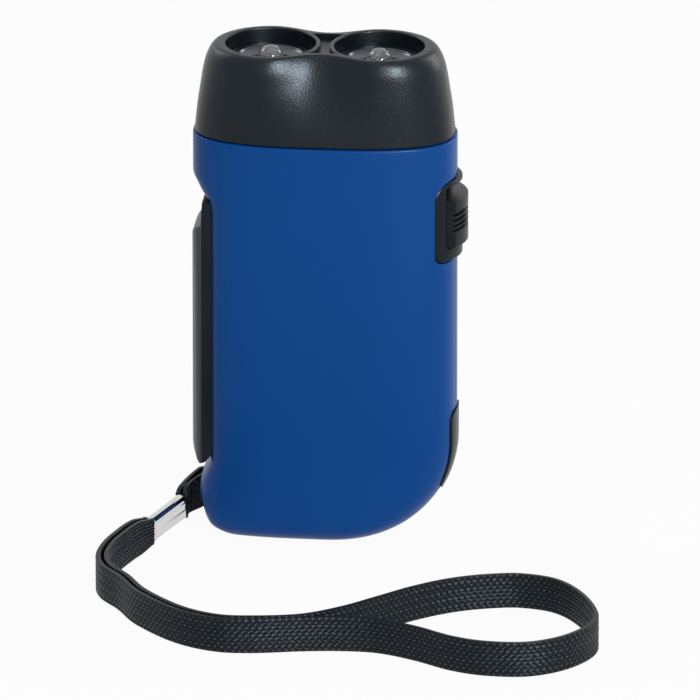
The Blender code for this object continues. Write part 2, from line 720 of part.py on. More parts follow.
def tooth_flank(module, teeth, addendum_share):
    """Half angles of one tooth at a few radii, root to tip, on an involute."""
    pitch = pitch_radius(module, teeth)
    base = pitch * math.cos(PRESSURE_ANGLE)
    root = pitch - DEDENDUM_SHARE * module
    tip = pitch + addendum_share * module

    def involute(angle):
        return math.tan(angle) - angle

    half = math.pi / (2 * teeth) * (1 - BACKLASH_SHARE)
    flank = []
    for radius in (root, max(base, root), tip):
        angle = math.acos(min(base / radius, 1.0))
        flank.append((radius, half + involute(PRESSURE_ANGLE) - involute(angle)))
    if base <= root:
        del flank[1]
    return flank


def toothed_outline(middle, module, teeth, addendum_share, first_angle, run=None):
    """Outline of a gear, or of the toothed run of a sector, with a tooth at first_angle."""
    flank = tooth_flank(module, teeth, addendum_share)
    numbers = range(teeth) if run is None else run
    outline = []
    for number in numbers:
        heading = first_angle + 2 * math.pi * number / teeth
        for radius, half in flank:
            outline.append(step_from(middle, radius, heading - half))
        for radius, half in reversed(flank):
            outline.append(step_from(middle, radius, heading + half))
    return outline


def wheel(name, axis, module, teeth, layer, first_angle, pinion=False):
    """A spur gear with a bore for its axle."""
    share = PINION_ADDENDUM_SHARE if pinion else WHEEL_ADDENDUM_SHARE
    outline = toothed_outline(axis, module, teeth, share, first_angle)
    bore = circle(*axis, AXLE_RADIUS + BEARING_GAP, SMALL_SEGMENTS)
    return sheet_piece(name, [outline, bore], *layer, "Y", axis)


def gap_angle(angle, teeth):
    """First tooth angle that puts a gap on the line back to the driving gear."""
    return angle + math.pi + math.pi / teeth


# Cutters shared by both shells

def screw_cutters():
    """Clearance holes and counterbores of the case screws."""
    tools = []
    for number, (x, z) in enumerate(SCREW_PLACES, 1):
        tools.append(rod(f"screw_hole_{number}", (x, SCREW_TIP_Y - GAP, z), (x, SCREW_SEAT_Y + OVERRUN, z),
                         SCREW_SHAFT_RADIUS + GAP, segments=SMALL_SEGMENTS))
        tools.append(rod(f"counterbore_{number}", (x, SCREW_SEAT_Y, z), (x, HALF_DEPTH + OVERRUN, z),
                         SCREW_HEAD_RADIUS + GAP, segments=SMALL_SEGMENTS))
    return tools


def kept_inside():
    """What stays standing in the hollow: screw bosses, pegs, shelves and the spring post."""
    outside = HALF_DEPTH + OVERRUN
    kept = [rod(f"screw_boss_{number}", (x, -outside, z), (x, outside, z), SCREW_BOSS_RADIUS,
                segments=SMALL_SEGMENTS)
            for number, (x, z) in enumerate(SCREW_PLACES, 1)]
    for side in (-1, 1):
        plate_outer = side * (PLATE_FACE_Y + PLATE_THICKNESS + GAP)
        for number, (x, z) in enumerate(PEG_PLACES, 1):
            kept.append(rod(f"peg_boss_{side}_{number}", (x, plate_outer, z), (x, side * outside, z),
                            PEG_BOSS_RADIUS, segments=SMALL_SEGMENTS))
            kept.append(rod(f"peg_{side}_{number}", (x, side * (PLATE_FACE_Y + GAP), z),
                            (x, side * outside, z), PEG_RADIUS, segments=SMALL_SEGMENTS))
    shelf_top = CRADLE_LOW_Z - GAP
    cradle_left, cradle_right = cradle_ends()
    kept.append(box("cradle_shelf_rear",
                    (cradle_left, CRADLE_SHELF_REAR_Y, shelf_top - CRADLE_SHELF_THICKNESS),
                    (cradle_right, outside, shelf_top)))
    kept.append(box("cradle_shelf_front",
                    (cradle_left, -outside, shelf_top - CRADLE_SHELF_THICKNESS),
                    (cradle_right, CRADLE_SHELF_FRONT_Y, shelf_top)))
    switch_shelf_top = SWITCH_LOW_Z - GAP
    for side in (-1, 1):
        near, far = sorted((side * SWITCH_SHELF_INNER_Y, side * outside))
        kept.append(box(f"switch_shelf_{side}",
                        (SWITCH_SHELF_LEFT_X, near, switch_shelf_top - SWITCH_SHELF_THICKNESS),
                        (SWITCH_RIGHT_X, far, switch_shelf_top)))
    kept.append(box("spring_post",
                    (SPRING_SEAT_X, 0.0, SPRING_Z - SPRING_POST_HALF_HEIGHT),
                    (SPRING_SEAT_X + SPRING_POST_THICKNESS, outside,
                     SPRING_Z + SPRING_POST_HALF_HEIGHT)))
    return kept


def plug_region(name, spare, inner_skin):
    """The patch of side wall that the plug covers, down to an inner skin."""
    patch = sheet_piece(name, [rounded_rectangle((-PLUG_HALF_DEPTH - spare, PLUG_LOW_Z - spare),
                                                 (PLUG_HALF_DEPTH + spare, PLUG_HIGH_Z + spare),
                                                 PLUG_CORNER)],
                        PLUG_INNER_X, HALF_WIDTH + OVERRUN, "X")
    return cut(patch, inner_skin)


def housing_cutters():
    """Everything that is taken out of both shells, made once."""
    side = HALF_WIDTH + OVERRUN
    lever_slot = box("lever_slot", (-side, -LEVER_HALF_DEPTH - GAP, SLOT_LOW_Z),
                     (SLOT_INNER_X, LEVER_HALF_DEPTH + GAP, SLOT_HIGH_Z))
    round_edges(lever_slot, SLOT_CORNER, 3)
    pin_hole = rod("lever_pin_hole", (PIVOT_X, -LEVER_PIN_HALF_LENGTH - GAP, PIVOT_Z),
                   (PIVOT_X, LEVER_PIN_HALF_LENGTH + GAP, PIVOT_Z), LEVER_PIN_RADIUS + GAP,
                   segments=SMALL_SEGMENTS)
    bezel_pocket = sheet_piece("bezel_pocket", [rounded_rectangle(
        (-BEZEL_HALF_DEPTH - GAP, BEZEL_LOW_Z - GAP), (BEZEL_HALF_DEPTH + GAP, BEZEL_HIGH_Z + GAP),
        BEZEL_CORNER + GAP)], BEZEL_INNER_X - GAP, side, "X")
    plug_pocket = plug_region("plug_pocket", GAP, housing_form("plug_floor", -PLUG_DEPTH - GAP))
    strap_slot = box("strap_slot", (-side, PARTING_Y, ANCHOR_SLOT_LOW_Z),
                     (ANCHOR_SLOT_INNER_X, ANCHOR_SLOT_REAR_Y, ANCHOR_SLOT_HIGH_Z))
    anchor_hole = rod("anchor_hole", (ANCHOR_X, ANCHOR_Y, ANCHOR_SLOT_LOW_Z - ANCHOR_PIN_FOOT - GAP),
                      (ANCHOR_X, ANCHOR_Y, ANCHOR_SLOT_HIGH_Z + ANCHOR_PIN_SINK + GAP),
                      ANCHOR_PIN_RADIUS + GAP, segments=SMALL_SEGMENTS)
    hollow = cut(hollow_form(), *kept_inside())
    neck_bore = neck_form("neck_bore", NECK_WALL, CAVITY_TOP_Z - GAP, NECK_TOP_Z + OVERRUN)
    return [hollow, neck_bore, lever_slot, pin_hole, bezel_pocket, plug_pocket, strap_slot,
            anchor_hole, *screw_cutters()]


def shell(name, other_half, tools):
    """One moulded shell: the housing form with its neck, less the other half and the cuts."""
    form = housing_form(name)
    join(form, neck_form(name + "_neck", 0.0, CAVITY_TOP_Z, NECK_TOP_Z))
    cut(form, *tools, other_half)
    return finish(form, "blue")


def make_shells():
    """Front and rear shells, parted with a small gap."""
    reach = HALF_WIDTH + OVERRUN
    low, high = -OVERRUN, NECK_TOP_Z + OVERRUN
    rear_half = box("rear_half", (-reach, PARTING_Y - GAP / 2, low), (reach, reach, high))
    front_half = box("front_half", (-reach, -reach, low), (reach, PARTING_Y + GAP / 2, high))
    tools = housing_cutters()
    front = shell("front_shell", rear_half, tools)
    rear = shell("rear_shell", front_half, tools)
    return front, rear


# Head

def head_ring(share, width, depth, z, inset=0.0):
    """A section of the head: a rounded box below that turns into a peanut at the top."""
    ring = []
    blend = share ** PEANUT_POWER
    lobe = HEAD_TOP_HALF_WIDTH - CUP_X
    for x, y, _ in super_ring(z, 1.0, 1.0, 1.0, RING_POINTS):
        at = abs(x) * HEAD_TOP_HALF_WIDTH
        if at >= CUP_X:
            peanut = math.sqrt(max(1 - ((at - CUP_X) / lobe) ** 2, 0.0))
        else:
            rise = 0.5 - 0.5 * math.cos(math.pi * at / CUP_X)
            peanut = PEANUT_WAIST_SHARE + (1 - PEANUT_WAIST_SHARE) * rise
        reach = (1 - blend) * abs(y) + blend * peanut
        ring.append((x * (width - inset), math.copysign(reach * (depth - inset), y), z))
    return ring


def head_sections(low, high, inset=0.0):
    """Rings of the head between two heights."""
    rings = []
    height = TOP_Z - SEAM_Z
    rows = [row for row in HEAD_SECTION_SHARES if low < SEAM_Z + row[0] * height < high]

    def blended(share):
        for before, after in zip(HEAD_SECTION_SHARES, HEAD_SECTION_SHARES[1:]):
            if share <= after[0]:
                along = (share - before[0]) / (after[0] - before[0])
                return tuple(a + (b - a) * along for a, b in zip(before, after))
        return HEAD_SECTION_SHARES[-1]

    ends = [blended(max((z - SEAM_Z) / height, 0.0)) for z in (low, high)]
    for (share, width, depth), z in (
            [(ends[0], low)] + [(row, SEAM_Z + row[0] * height) for row in rows] + [(ends[1], high)]):
        rings.append(head_ring(share, width * HALF_WIDTH, depth * HALF_DEPTH, z, inset))
    return rings


def make_head():
    """Head cover, hollow below, with two cups and the sunk triangles between them."""
    cover = loft("head_cover", head_sections(SEAM_Z + GAP, TOP_Z))
    cavity = loft("head_cavity", head_sections(SEAM_Z, HEAD_CAVITY_TOP_Z, WALL))
    cavity_mouth = loft("head_mouth", head_sections(SEAM_Z, SEAM_Z + WALL, WALL))
    cavity_mouth.location = (0.0, 0.0, -WALL / 2)
    cut(cover, cavity, cavity_mouth)
    recess = box("cup_recess", (-RECESS_HALF_WIDTH, -RECESS_HALF_DEPTH, TOP_Z - RECESS_DEPTH),
                 (RECESS_HALF_WIDTH, RECESS_HALF_DEPTH, TOP_Z + OVERRUN))
    for side in (-1, 1):
        cut(recess, rod(f"cup_ring_{side}", (side * CUP_X, 0.0, TOP_Z - OVERRUN),
                        (side * CUP_X, 0.0, TOP_Z + 2 * OVERRUN), CUP_RING_RADIUS, segments=CUP_SEGMENTS))
    cut(cover, recess)
    for side in (-1, 1):
        x = side * CUP_X
        cut(cover,
            rod(f"cup_bore_{side}", (x, 0.0, HEAD_CAVITY_TOP_Z - OVERRUN), (x, 0.0, TOP_Z),
                CUP_BORE_RADIUS, segments=CUP_SEGMENTS),
            rod(f"cup_{side}", (x, 0.0, CUP_LEDGE_Z), (x, 0.0, TOP_Z + OVERRUN), CUP_RADIUS,
                segments=CUP_SEGMENTS))
    return finish(cover, "black")


def make_lamps():
    """Reflectors on the ledges of the cups, bulbs through them and the board below."""
    board_low = NECK_TOP_Z + GAP
    board_top = board_low + BOARD_THICKNESS
    ring = super_ring(0.0, NECK_HALF_WIDTH - GAP, NECK_HALF_WIDTH - GAP, NECK_HALF_DEPTH - GAP,
                      CAVITY_RING_POINTS)
    board = sheet_piece("led_board", [[(x, y) for x, y, _ in ring]], board_low, board_top, "Z")
    finish(board, "green")
    rim = CUP_RADIUS - GAP
    skirt = CUP_BORE_RADIUS - GAP
    seat = CUP_LEDGE_Z + GAP
    bottom = REFLECTOR_RIM_Z - REFLECTOR_DISH_DEPTH - REFLECTOR_THICKNESS
    middle_z = (REFLECTOR_RIM_Z + REFLECTOR_RIM_Z - REFLECTOR_DISH_DEPTH) / 2
    for name, side in (("left", -1), ("right", 1)):
        x = side * CUP_X
        dish = turned(f"reflector_{name}", [
            (rim, REFLECTOR_RIM_Z), (rim, seat), (skirt, seat), (skirt, bottom),
            (REFLECTOR_HOLE_RADIUS, bottom),
            (REFLECTOR_HOLE_RADIUS, REFLECTOR_RIM_Z - REFLECTOR_DISH_DEPTH),
            ((rim + REFLECTOR_HOLE_RADIUS) / 2, middle_z - REFLECTOR_DISH_DEPTH / 6),
        ], x, ROUND_SEGMENTS)
        finish(dish, "dark")
        base = board_top + GAP
        dome = [(LED_RADIUS * math.cos(turn), LED_TOP_Z - LED_RADIUS + LED_RADIUS * math.sin(turn))
                for turn in (math.pi / 2, math.pi / 3, math.pi / 6, 0.0)]
        bulb = turned(f"led_{name}", [
            (0.0, dome[0][1]), *dome[1:], (LED_RADIUS, base + LED_FLANGE_HEIGHT),
            (REFLECTOR_HOLE_RADIUS, base + LED_FLANGE_HEIGHT), (REFLECTOR_HOLE_RADIUS, base), (0.0, base),
        ], x, 20)
        finish(bulb, "clear")


# Press lever

def lever_outline():
    """Side view of the lever: grip, tip that tucks in above, and the ear round the pivot."""
    low_out = (LEVER_OUTER_X + LEVER_WEB, LEVER_LOW_Z)
    grip_low = PIVOT_Z - EDGE_ROUND
    outline = [
        (LEVER_SIDE_X - LEVER_WEB * 0.75, LEVER_LOW_Z + LEVER_WEB * 1.1),
        (LEVER_SIDE_X - LEVER_WEB * 1.4, LEVER_LOW_Z + LEVER_WEB * 0.3),
        low_out,
        (LEVER_OUTER_X + LEVER_WEB * 0.45, LEVER_LOW_Z + LEVER_WEB),
        (LEVER_OUTER_X + LEVER_WEB * 0.1, LEVER_LOW_Z + LEVER_WEB * 2),
        (LEVER_OUTER_X, grip_low),
        (LEVER_OUTER_X, LEVER_GRIP_TOP_Z),
        (LEVER_OUTER_X + LEVER_WEB * 0.2, LEVER_GRIP_TOP_Z + LEVER_WEB),
        (LEVER_OUTER_X + LEVER_WEB * 0.65, LEVER_GRIP_TOP_Z + LEVER_WEB * 1.6),
        (LEVER_TIP_X - GAP, LEVER_GRIP_TOP_Z + LEVER_WEB * 2.05),
        (LEVER_TIP_X, LEVER_TIP_Z),
        (LEVER_TIP_X + LEVER_WEB, LEVER_TIP_Z),
        (LEVER_TIP_X + LEVER_WEB, LEVER_TIP_Z - LEVER_WEB * 1.5),
        (LEVER_BLOCK_X, LEVER_TIP_Z - LEVER_WEB * 2),
        (LEVER_BLOCK_X, LEVER_GRIP_TOP_Z + LEVER_WEB),
        (LEVER_SIDE_X, LEVER_GRIP_TOP_Z),
        (LEVER_SIDE_X, PIVOT_Z + PIVOT_BOSS_RADIUS * 2),
    ]
    return outline + arc(LEVER_PIVOT, PIVOT_BOSS_RADIUS, math.pi / 3, -math.pi / 1.6, 8)


def sector_outline():
    """The toothed sector that the lever carries, from its hub to its run of teeth."""
    teeth = toothed_outline(LEVER_PIVOT, SECTOR_MODULE, SECTOR_TEETH, WHEEL_ADDENDUM_SHARE,
                            SECTOR_TO_FIRST_ANGLE, range(-1, SECTOR_TOOTH_RUN - 1))
    half_step = math.pi / SECTOR_TEETH
    root = pitch_radius(SECTOR_MODULE, SECTOR_TEETH) - DEDENDUM_SHARE * SECTOR_MODULE
    first = step_from(LEVER_PIVOT, root, SECTOR_TO_FIRST_ANGLE - 3 * half_step)
    last = step_from(LEVER_PIVOT, root, SECTOR_TO_FIRST_ANGLE + (2 * SECTOR_TOOTH_RUN - 3) * half_step)
    hub = arc(LEVER_PIVOT, PIVOT_BOSS_RADIUS, math.pi * 0.8, math.pi * 2.1, 10)
    return hub + [first] + teeth + [last]


def make_lever():
    """Lever channel with its toothed sector, stop lug and spring stud, and its pin."""
    lever = sheet_piece("press_lever", [lever_outline()], -LEVER_HALF_DEPTH, LEVER_HALF_DEPTH, "Y",
                        LEVER_PIVOT)
    crown = loft("lever_crown", [super_ring(z, -LEVER_OUTER_X, -LEVER_OUTER_X, HALF_DEPTH, RING_POINTS)
                                 for z in (0.0, SEAM_Z)])
    web_x = LEVER_OUTER_X + LEVER_WEB
    channel_half = LEVER_HALF_DEPTH - LEVER_SIDE_WALL
    channel = box("lever_channel", (web_x, -channel_half, -OVERRUN),
                  (0.0, channel_half, LEVER_GRIP_TOP_Z + LEVER_WEB))
    trim(lever, crown)
    cut(lever, channel)
    sector = sheet_piece("lever_sector", [sector_outline()], *SECTOR_LAYER, "Y")
    lug_x = -CAVITY_LEFT + GAP
    lug = box("stop_lug", (lug_x, -STOP_LUG_HALF_DEPTH, LEVER_GRIP_TOP_Z + LEVER_WEB * 1.5),
              (LEVER_BLOCK_X, STOP_LUG_HALF_DEPTH, STOP_LUG_TOP_Z))
    stud = rod("spring_stud", (web_x - LEVER_WEB / 2, SPRING_Y, SPRING_Z),
               (web_x + SPRING_STUD_LENGTH, SPRING_Y, SPRING_Z), SPRING_STUD_RADIUS, segments=SMALL_SEGMENTS)
    join(lever, sector, lug, stud)
    bore = rod("lever_bore", (PIVOT_X, -HALF_DEPTH, PIVOT_Z), (PIVOT_X, HALF_DEPTH, PIVOT_Z),
               LEVER_PIN_RADIUS + GAP, segments=SMALL_SEGMENTS)
    cut(lever, bore)
    finish(lever, "satin")
    pin = rod("lever_pin", (PIVOT_X, -LEVER_PIN_HALF_LENGTH, PIVOT_Z),
              (PIVOT_X, LEVER_PIN_HALF_LENGTH, PIVOT_Z), LEVER_PIN_RADIUS, segments=SMALL_SEGMENTS)
    finish(pin, "steel")
    pivot("lever_axis", (PIVOT_X, 0.0, PIVOT_Z), lever)


def make_spring():
    """Coil spring from the lever's web to the post of the rear shell."""
    start = LEVER_OUTER_X + LEVER_WEB + GAP + SPRING_WIRE_RADIUS
    end = SPRING_SEAT_X - GAP - SPRING_WIRE_RADIUS
    points_per_turn = 9
    total = SPRING_TURNS * points_per_turn
    points = []
    for step in range(total + 1):
        turn = 2 * math.pi * step / points_per_turn
        x = start + (end - start) * step / total
        points.append((x, SPRING_Y + SPRING_RADIUS * math.cos(turn),
                       SPRING_Z + SPRING_RADIUS * math.sin(turn)))
    curve = bpy.data.curves.new("lever_spring", "CURVE")
    curve.dimensions = "3D"
    curve.bevel_depth = SPRING_WIRE_RADIUS
    curve.bevel_resolution = 1
    curve.use_fill_caps = True
    spline = curve.splines.new("POLY")
    spline.points.add(len(points) - 1)
    for point, place in zip(spline.points, points):
        point.co = (*place, 1.0)
    spring = bpy.data.objects.new("lever_spring", curve)
    CUTTERS.objects.link(spring)
    finish(meshed(spring), "steel")


# Gears and generator

def make_gears():
    """Two compound gears on fixed axles and the pinion of the rotor."""
    names = (("gear_1", FIRST_AXIS), ("gear_2", SECOND_AXIS))
    big_1 = wheel("gear_1", FIRST_AXIS, SECOND_MODULE, FIRST_WHEEL_TEETH, FIRST_WHEEL_LAYER,
                  FIRST_TO_SECOND_ANGLE)
    small_1 = wheel("gear_1_pinion", FIRST_AXIS, SECTOR_MODULE, FIRST_PINION_TEETH,
                    (SECTOR_LAYER[0], FIRST_WHEEL_LAYER[0] + EDGE_ROUND),
                    gap_angle(SECTOR_TO_FIRST_ANGLE, FIRST_PINION_TEETH), True)
    big_2 = wheel("gear_2", SECOND_AXIS, THIRD_MODULE, SECOND_WHEEL_TEETH, SECOND_WHEEL_LAYER,
                  SECOND_TO_ROTOR_ANGLE)
    small_2 = wheel("gear_2_pinion", SECOND_AXIS, SECOND_MODULE, SECOND_PINION_TEETH,
                    (FIRST_WHEEL_LAYER[0], SECOND_WHEEL_LAYER[0] + EDGE_ROUND),
                    gap_angle(FIRST_TO_SECOND_ANGLE, SECOND_PINION_TEETH), True)
    for big, small, (name, axis) in ((big_1, small_1, names[0]), (big_2, small_2, names[1])):
        join(big, small)
        bore = rod(name + "_bore", (axis[0], -HALF_DEPTH, axis[1]), (axis[0], HALF_DEPTH, axis[1]),
                   AXLE_RADIUS + BEARING_GAP + GAP / 6, segments=SMALL_SEGMENTS)
        cut(big, bore)
        finish(big, "white")
        axle = rod(name + "_axle", (axis[0], -AXLE_HALF_LENGTH, axis[1]),
                   (axis[0], AXLE_HALF_LENGTH, axis[1]), AXLE_RADIUS, segments=SMALL_SEGMENTS)
        finish(axle, "steel")
    pinion = wheel("rotor_pinion", ROTOR_AXIS, THIRD_MODULE, ROTOR_PINION_TEETH, SECOND_WHEEL_LAYER,
                   gap_angle(SECOND_TO_ROTOR_ANGLE, ROTOR_PINION_TEETH), True)
    finish(pinion, "white")
    axle = rod("rotor_axle", (ROTOR_AXIS[0], -AXLE_HALF_LENGTH, ROTOR_AXIS[1]),
               (ROTOR_AXIS[0], AXLE_HALF_LENGTH, ROTOR_AXIS[1]), AXLE_RADIUS, segments=SMALL_SEGMENTS)
    finish(axle, "steel")
    magnet = sheet_piece("magnet_rotor", [circle(*ROTOR_AXIS, MAGNET_RADIUS, 32),
                                          circle(*ROTOR_AXIS, AXLE_RADIUS + BEARING_GAP, SMALL_SEGMENTS)],
                         *MAGNET_LAYER, "Y", ROTOR_AXIS)
    finish(magnet, "magnet")
    pivot("rotor_centre", (ROTOR_AXIS[0], 0.0, ROTOR_AXIS[1]), pinion, axle, magnet)


def make_generator():
    """Laminated yoke round the rotor, with the bobbin and winding on its lower bar."""
    inner = MAGNET_RADIUS + AIR_GAP
    outer = inner + STATOR_WIDTH
    x, z = ROTOR_AXIS
    left, right = x - outer, x + outer
    low, high = COIL_Z - COIL_CORE_HALF_HEIGHT, COIL_Z + COIL_CORE_HALF_HEIGHT
    right_pole = arc(ROTOR_AXIS, outer, 0.0, POLE_HALF_ANGLE, 6) + \
        arc(ROTOR_AXIS, inner, POLE_HALF_ANGLE, -POLE_HALF_ANGLE, 12)
    left_pole = arc(ROTOR_AXIS, inner, math.pi + POLE_HALF_ANGLE, math.pi - POLE_HALF_ANGLE, 12) + \
        arc(ROTOR_AXIS, outer, math.pi - POLE_HALF_ANGLE, math.pi, 6)
    neck_z = z - outer
    outline = right_pole + [(right - STATOR_WIDTH, neck_z), (right - STATOR_WIDTH, high),
                            (left + STATOR_WIDTH, high), (left + STATOR_WIDTH, neck_z)] + \
        left_pole + [(left, low), (right, low)]
    stator = sheet_piece("stator_core", [outline], *STATOR_LAYER, "Y")
    finish(stator, "steel")
    middle_y = sum(STATOR_LAYER) / 2
    bobbin = rod("coil_bobbin", (x - COIL_HALF_LENGTH, middle_y, COIL_Z),
                 (x + COIL_HALF_LENGTH, middle_y, COIL_Z), BOBBIN_FLANGE_RADIUS)
    waist = rod("bobbin_waist_outer", (x - COIL_HALF_LENGTH + BOBBIN_FLANGE, middle_y, COIL_Z),
                (x + COIL_HALF_LENGTH - BOBBIN_FLANGE, middle_y, COIL_Z), COIL_RADIUS + OVERRUN)
    waist_inner = rod("bobbin_waist_inner", (x - COIL_HALF_LENGTH, middle_y, COIL_Z),
                      (x + COIL_HALF_LENGTH, middle_y, COIL_Z), SLEEVE_RADIUS)
    cut(waist, waist_inner)
    window = box("bobbin_window", (left, STATOR_LAYER[0] - GAP, low - GAP),
                 (right, STATOR_LAYER[1] + GAP, high + GAP))
    cut(bobbin, waist, window)
    finish(bobbin, "white")
    wound = BOBBIN_FLANGE + GAP
    winding = rod("coil_winding", (x - COIL_HALF_LENGTH + wound, middle_y, COIL_Z),
                  (x + COIL_HALF_LENGTH - wound, middle_y, COIL_Z), COIL_RADIUS)
    core_hole = rod("winding_hole", (left, middle_y, COIL_Z), (right, middle_y, COIL_Z), SLEEVE_RADIUS + GAP)
    cut(winding, core_hole)
    finish(winding, "copper")


def make_gear_plates():
    """Plates that hold the axle ends, each on the pegs of its shell."""
    slope_x, slope_z = on_plate(PLATE_SLOPE_SHARES)
    outline = [(PLATE_LEFT_X, PLATE_LOW_Z), (PLATE_RIGHT_X, PLATE_LOW_Z), (PLATE_RIGHT_X, PLATE_HIGH_Z),
               (slope_x, PLATE_HIGH_Z), (PLATE_LEFT_X, slope_z)]
    holes = [circle(*axis, AXLE_RADIUS + BEARING_GAP, SMALL_SEGMENTS)
             for axis in (FIRST_AXIS, SECOND_AXIS, ROTOR_AXIS)]
    holes += [circle(*place, PEG_RADIUS + GAP, SMALL_SEGMENTS) for place in PEG_PLACES]
    for name, side in (("gear_plate_front", -1), ("gear_plate_rear", 1)):
        near, far = sorted((side * PLATE_FACE_Y, side * (PLATE_FACE_Y + PLATE_THICKNESS)))
        finish(sheet_piece(name, [outline] + holes, near, far, "Y"), "white")


# Switch

def make_switch():
    """Bezel, sliding knob with its stem, and the switch body behind them."""
    bezel_frame = rounded_rectangle((-BEZEL_HALF_DEPTH, BEZEL_LOW_Z), (BEZEL_HALF_DEPTH, BEZEL_HIGH_Z),
                                    BEZEL_CORNER)
    window = rounded_rectangle((-KNOB_HALF_DEPTH - GAP, KNOB_LOW_Z - GAP),
                               (KNOB_HALF_DEPTH + GAP, KNOB_HIGH_Z + KNOB_TRAVEL + GAP), GAP * 2, 1)
    bezel = sheet_piece("switch_bezel", [bezel_frame, window], BEZEL_INNER_X, BEZEL_CROWN_X + OVERRUN, "X")
    turns = [2 * math.pi * step / CROWN_SEGMENTS for step in range(CROWN_SEGMENTS)]
    oval = [(BEZEL_CROWN_X * math.cos(turn), BEZEL_CROWN_HALF_DEPTH * math.sin(turn)) for turn in turns]
    crown = loft("bezel_crown", [[(x, y, z) for x, y in oval]
                                 for z in (BEZEL_LOW_Z - OVERRUN, BEZEL_HIGH_Z + OVERRUN)])
    trim(bezel, crown)
    finish(bezel, "satin")
    crown_steps = 10
    crown_line = []
    for step in range(crown_steps + 1):
        y = KNOB_HALF_DEPTH * (2 * step / crown_steps - 1)
        crown_line.append((KNOB_CROWN_X - KNOB_CROWN_DROP * (y / KNOB_HALF_DEPTH) ** 2, y))
    knob_line = crown_line + [(KNOB_INNER_X, KNOB_HALF_DEPTH), (KNOB_INNER_X, -KNOB_HALF_DEPTH)]
    knob = sheet_piece("switch_knob", [knob_line], KNOB_LOW_Z, KNOB_HIGH_Z, "Z")
    stem_end = BEZEL_CROWN_X - KNOB_PROUD
    for number in range(GROOVE_COUNT):
        z = GROOVE_FIRST_Z + number * GROOVE_PITCH
        bed = [(x - GROOVE_DEPTH, y) for x, y in crown_line]
        bed = [(bed[0][0], bed[0][1] - OVERRUN)] + bed + [(bed[-1][0], bed[-1][1] + OVERRUN)]
        far = [(KNOB_CROWN_X + OVERRUN, bed[-1][1]), (KNOB_CROWN_X + OVERRUN, bed[0][1])]
        cut(knob, sheet_piece(f"knob_groove_{number + 1}", [bed + far], z - GROOVE_WIDTH / 2,
                              z + GROOVE_WIDTH / 2, "Z"))
    stem_z = (KNOB_LOW_Z + KNOB_HIGH_Z) / 2
    stem = box("knob_stem", (KNOB_INNER_X - STEM_LENGTH, -STEM_HALF_DEPTH, stem_z - STEM_HALF_HEIGHT),
               (stem_end, STEM_HALF_DEPTH, stem_z + STEM_HALF_HEIGHT))
    join(knob, stem)
    finish(knob, "satin")
    body = box("slide_switch", (SWITCH_LEFT_X, -SWITCH_HALF_DEPTH, SWITCH_LOW_Z),
               (SWITCH_RIGHT_X, SWITCH_HALF_DEPTH, SWITCH_LOW_Z + SWITCH_HEIGHT))
    slot = box("switch_slot", (SWITCH_RIGHT_X - SWITCH_SLOT_DEPTH, -STEM_HALF_DEPTH - GAP,
                               stem_z - STEM_HALF_HEIGHT - GAP),
               (SWITCH_RIGHT_X + OVERRUN, STEM_HALF_DEPTH + GAP,
                stem_z + STEM_HALF_HEIGHT + KNOB_TRAVEL + GAP))
    cut(body, slot)
    finish(body, "steel")


# Battery

def cell_span():
    """Overall length of the row of cells with the gaps between them."""
    return CELL_COUNT * CELL_HEIGHT + (CELL_COUNT - 1) * GAP


def cradle_ends():
    """Left and right outer faces of the cradle."""
    half = cell_span() / 2 + GAP + CRADLE_END_WALL
    return CELL_MIDDLE_X - half, CELL_MIDDLE_X + half


def make_battery():
    """Button cells side by side in a round-bottomed cradle."""
    left, right = cradle_ends()
    cradle = box("battery_cradle", (left, -CRADLE_HALF_DEPTH, CRADLE_LOW_Z),
                 (right, CRADLE_HALF_DEPTH, CELL_AXIS_Z))
    trough = rod("cradle_trough", (left + CRADLE_END_WALL, 0.0, CELL_AXIS_Z),
                 (right - CRADLE_END_WALL, 0.0, CELL_AXIS_Z), CELL_RADIUS + GAP)
    cut(cradle, trough)
    finish(cradle, "black")
    start = CELL_MIDDLE_X - cell_span() / 2
    for number in range(CELL_COUNT):
        low = start + number * (CELL_HEIGHT + GAP)
        cell = rod(f"battery_cell_{number + 1}", (low, 0.0, CELL_AXIS_Z),
                   (low + CELL_HEIGHT, 0.0, CELL_AXIS_Z), CELL_RADIUS)
        finish(cell, "steel")


# Fasteners and small pieces

def make_screws():
    """Case screws with slotted heads, in their counterbores."""
    for number, (x, z) in enumerate(SCREW_PLACES, 1):
        head_low = SCREW_SEAT_Y + GAP
        head_top = head_low + SCREW_HEAD_HEIGHT
        screw = rod(f"case_screw_{number}", (x, head_low, z), (x, head_top, z), SCREW_HEAD_RADIUS,
                    segments=SMALL_SEGMENTS)
        join(screw, rod(f"screw_shaft_{number}", (x, SCREW_TIP_Y, z), (x, head_low + SCREW_SLOT_DEPTH, z),
                        SCREW_SHAFT_RADIUS, segments=SMALL_SEGMENTS))
        cut(screw, box(f"screw_slot_{number}",
                       (x - SCREW_HEAD_RADIUS - GAP, head_top - SCREW_SLOT_DEPTH, z - SCREW_SLOT_WIDTH / 2),
                       (x + SCREW_HEAD_RADIUS + GAP, head_top + GAP, z + SCREW_SLOT_WIDTH / 2)))
        finish(screw, "steel")


def make_plug():
    """Cover of the socket, curved with the corner of the housing and a little proud of it."""
    plug = plug_region("port_cover", 0.0, housing_form("plug_inner", -PLUG_DEPTH))
    trim(plug, housing_form("plug_outer", PLUG_PROUD))
    finish(plug, "satin")


# Strap

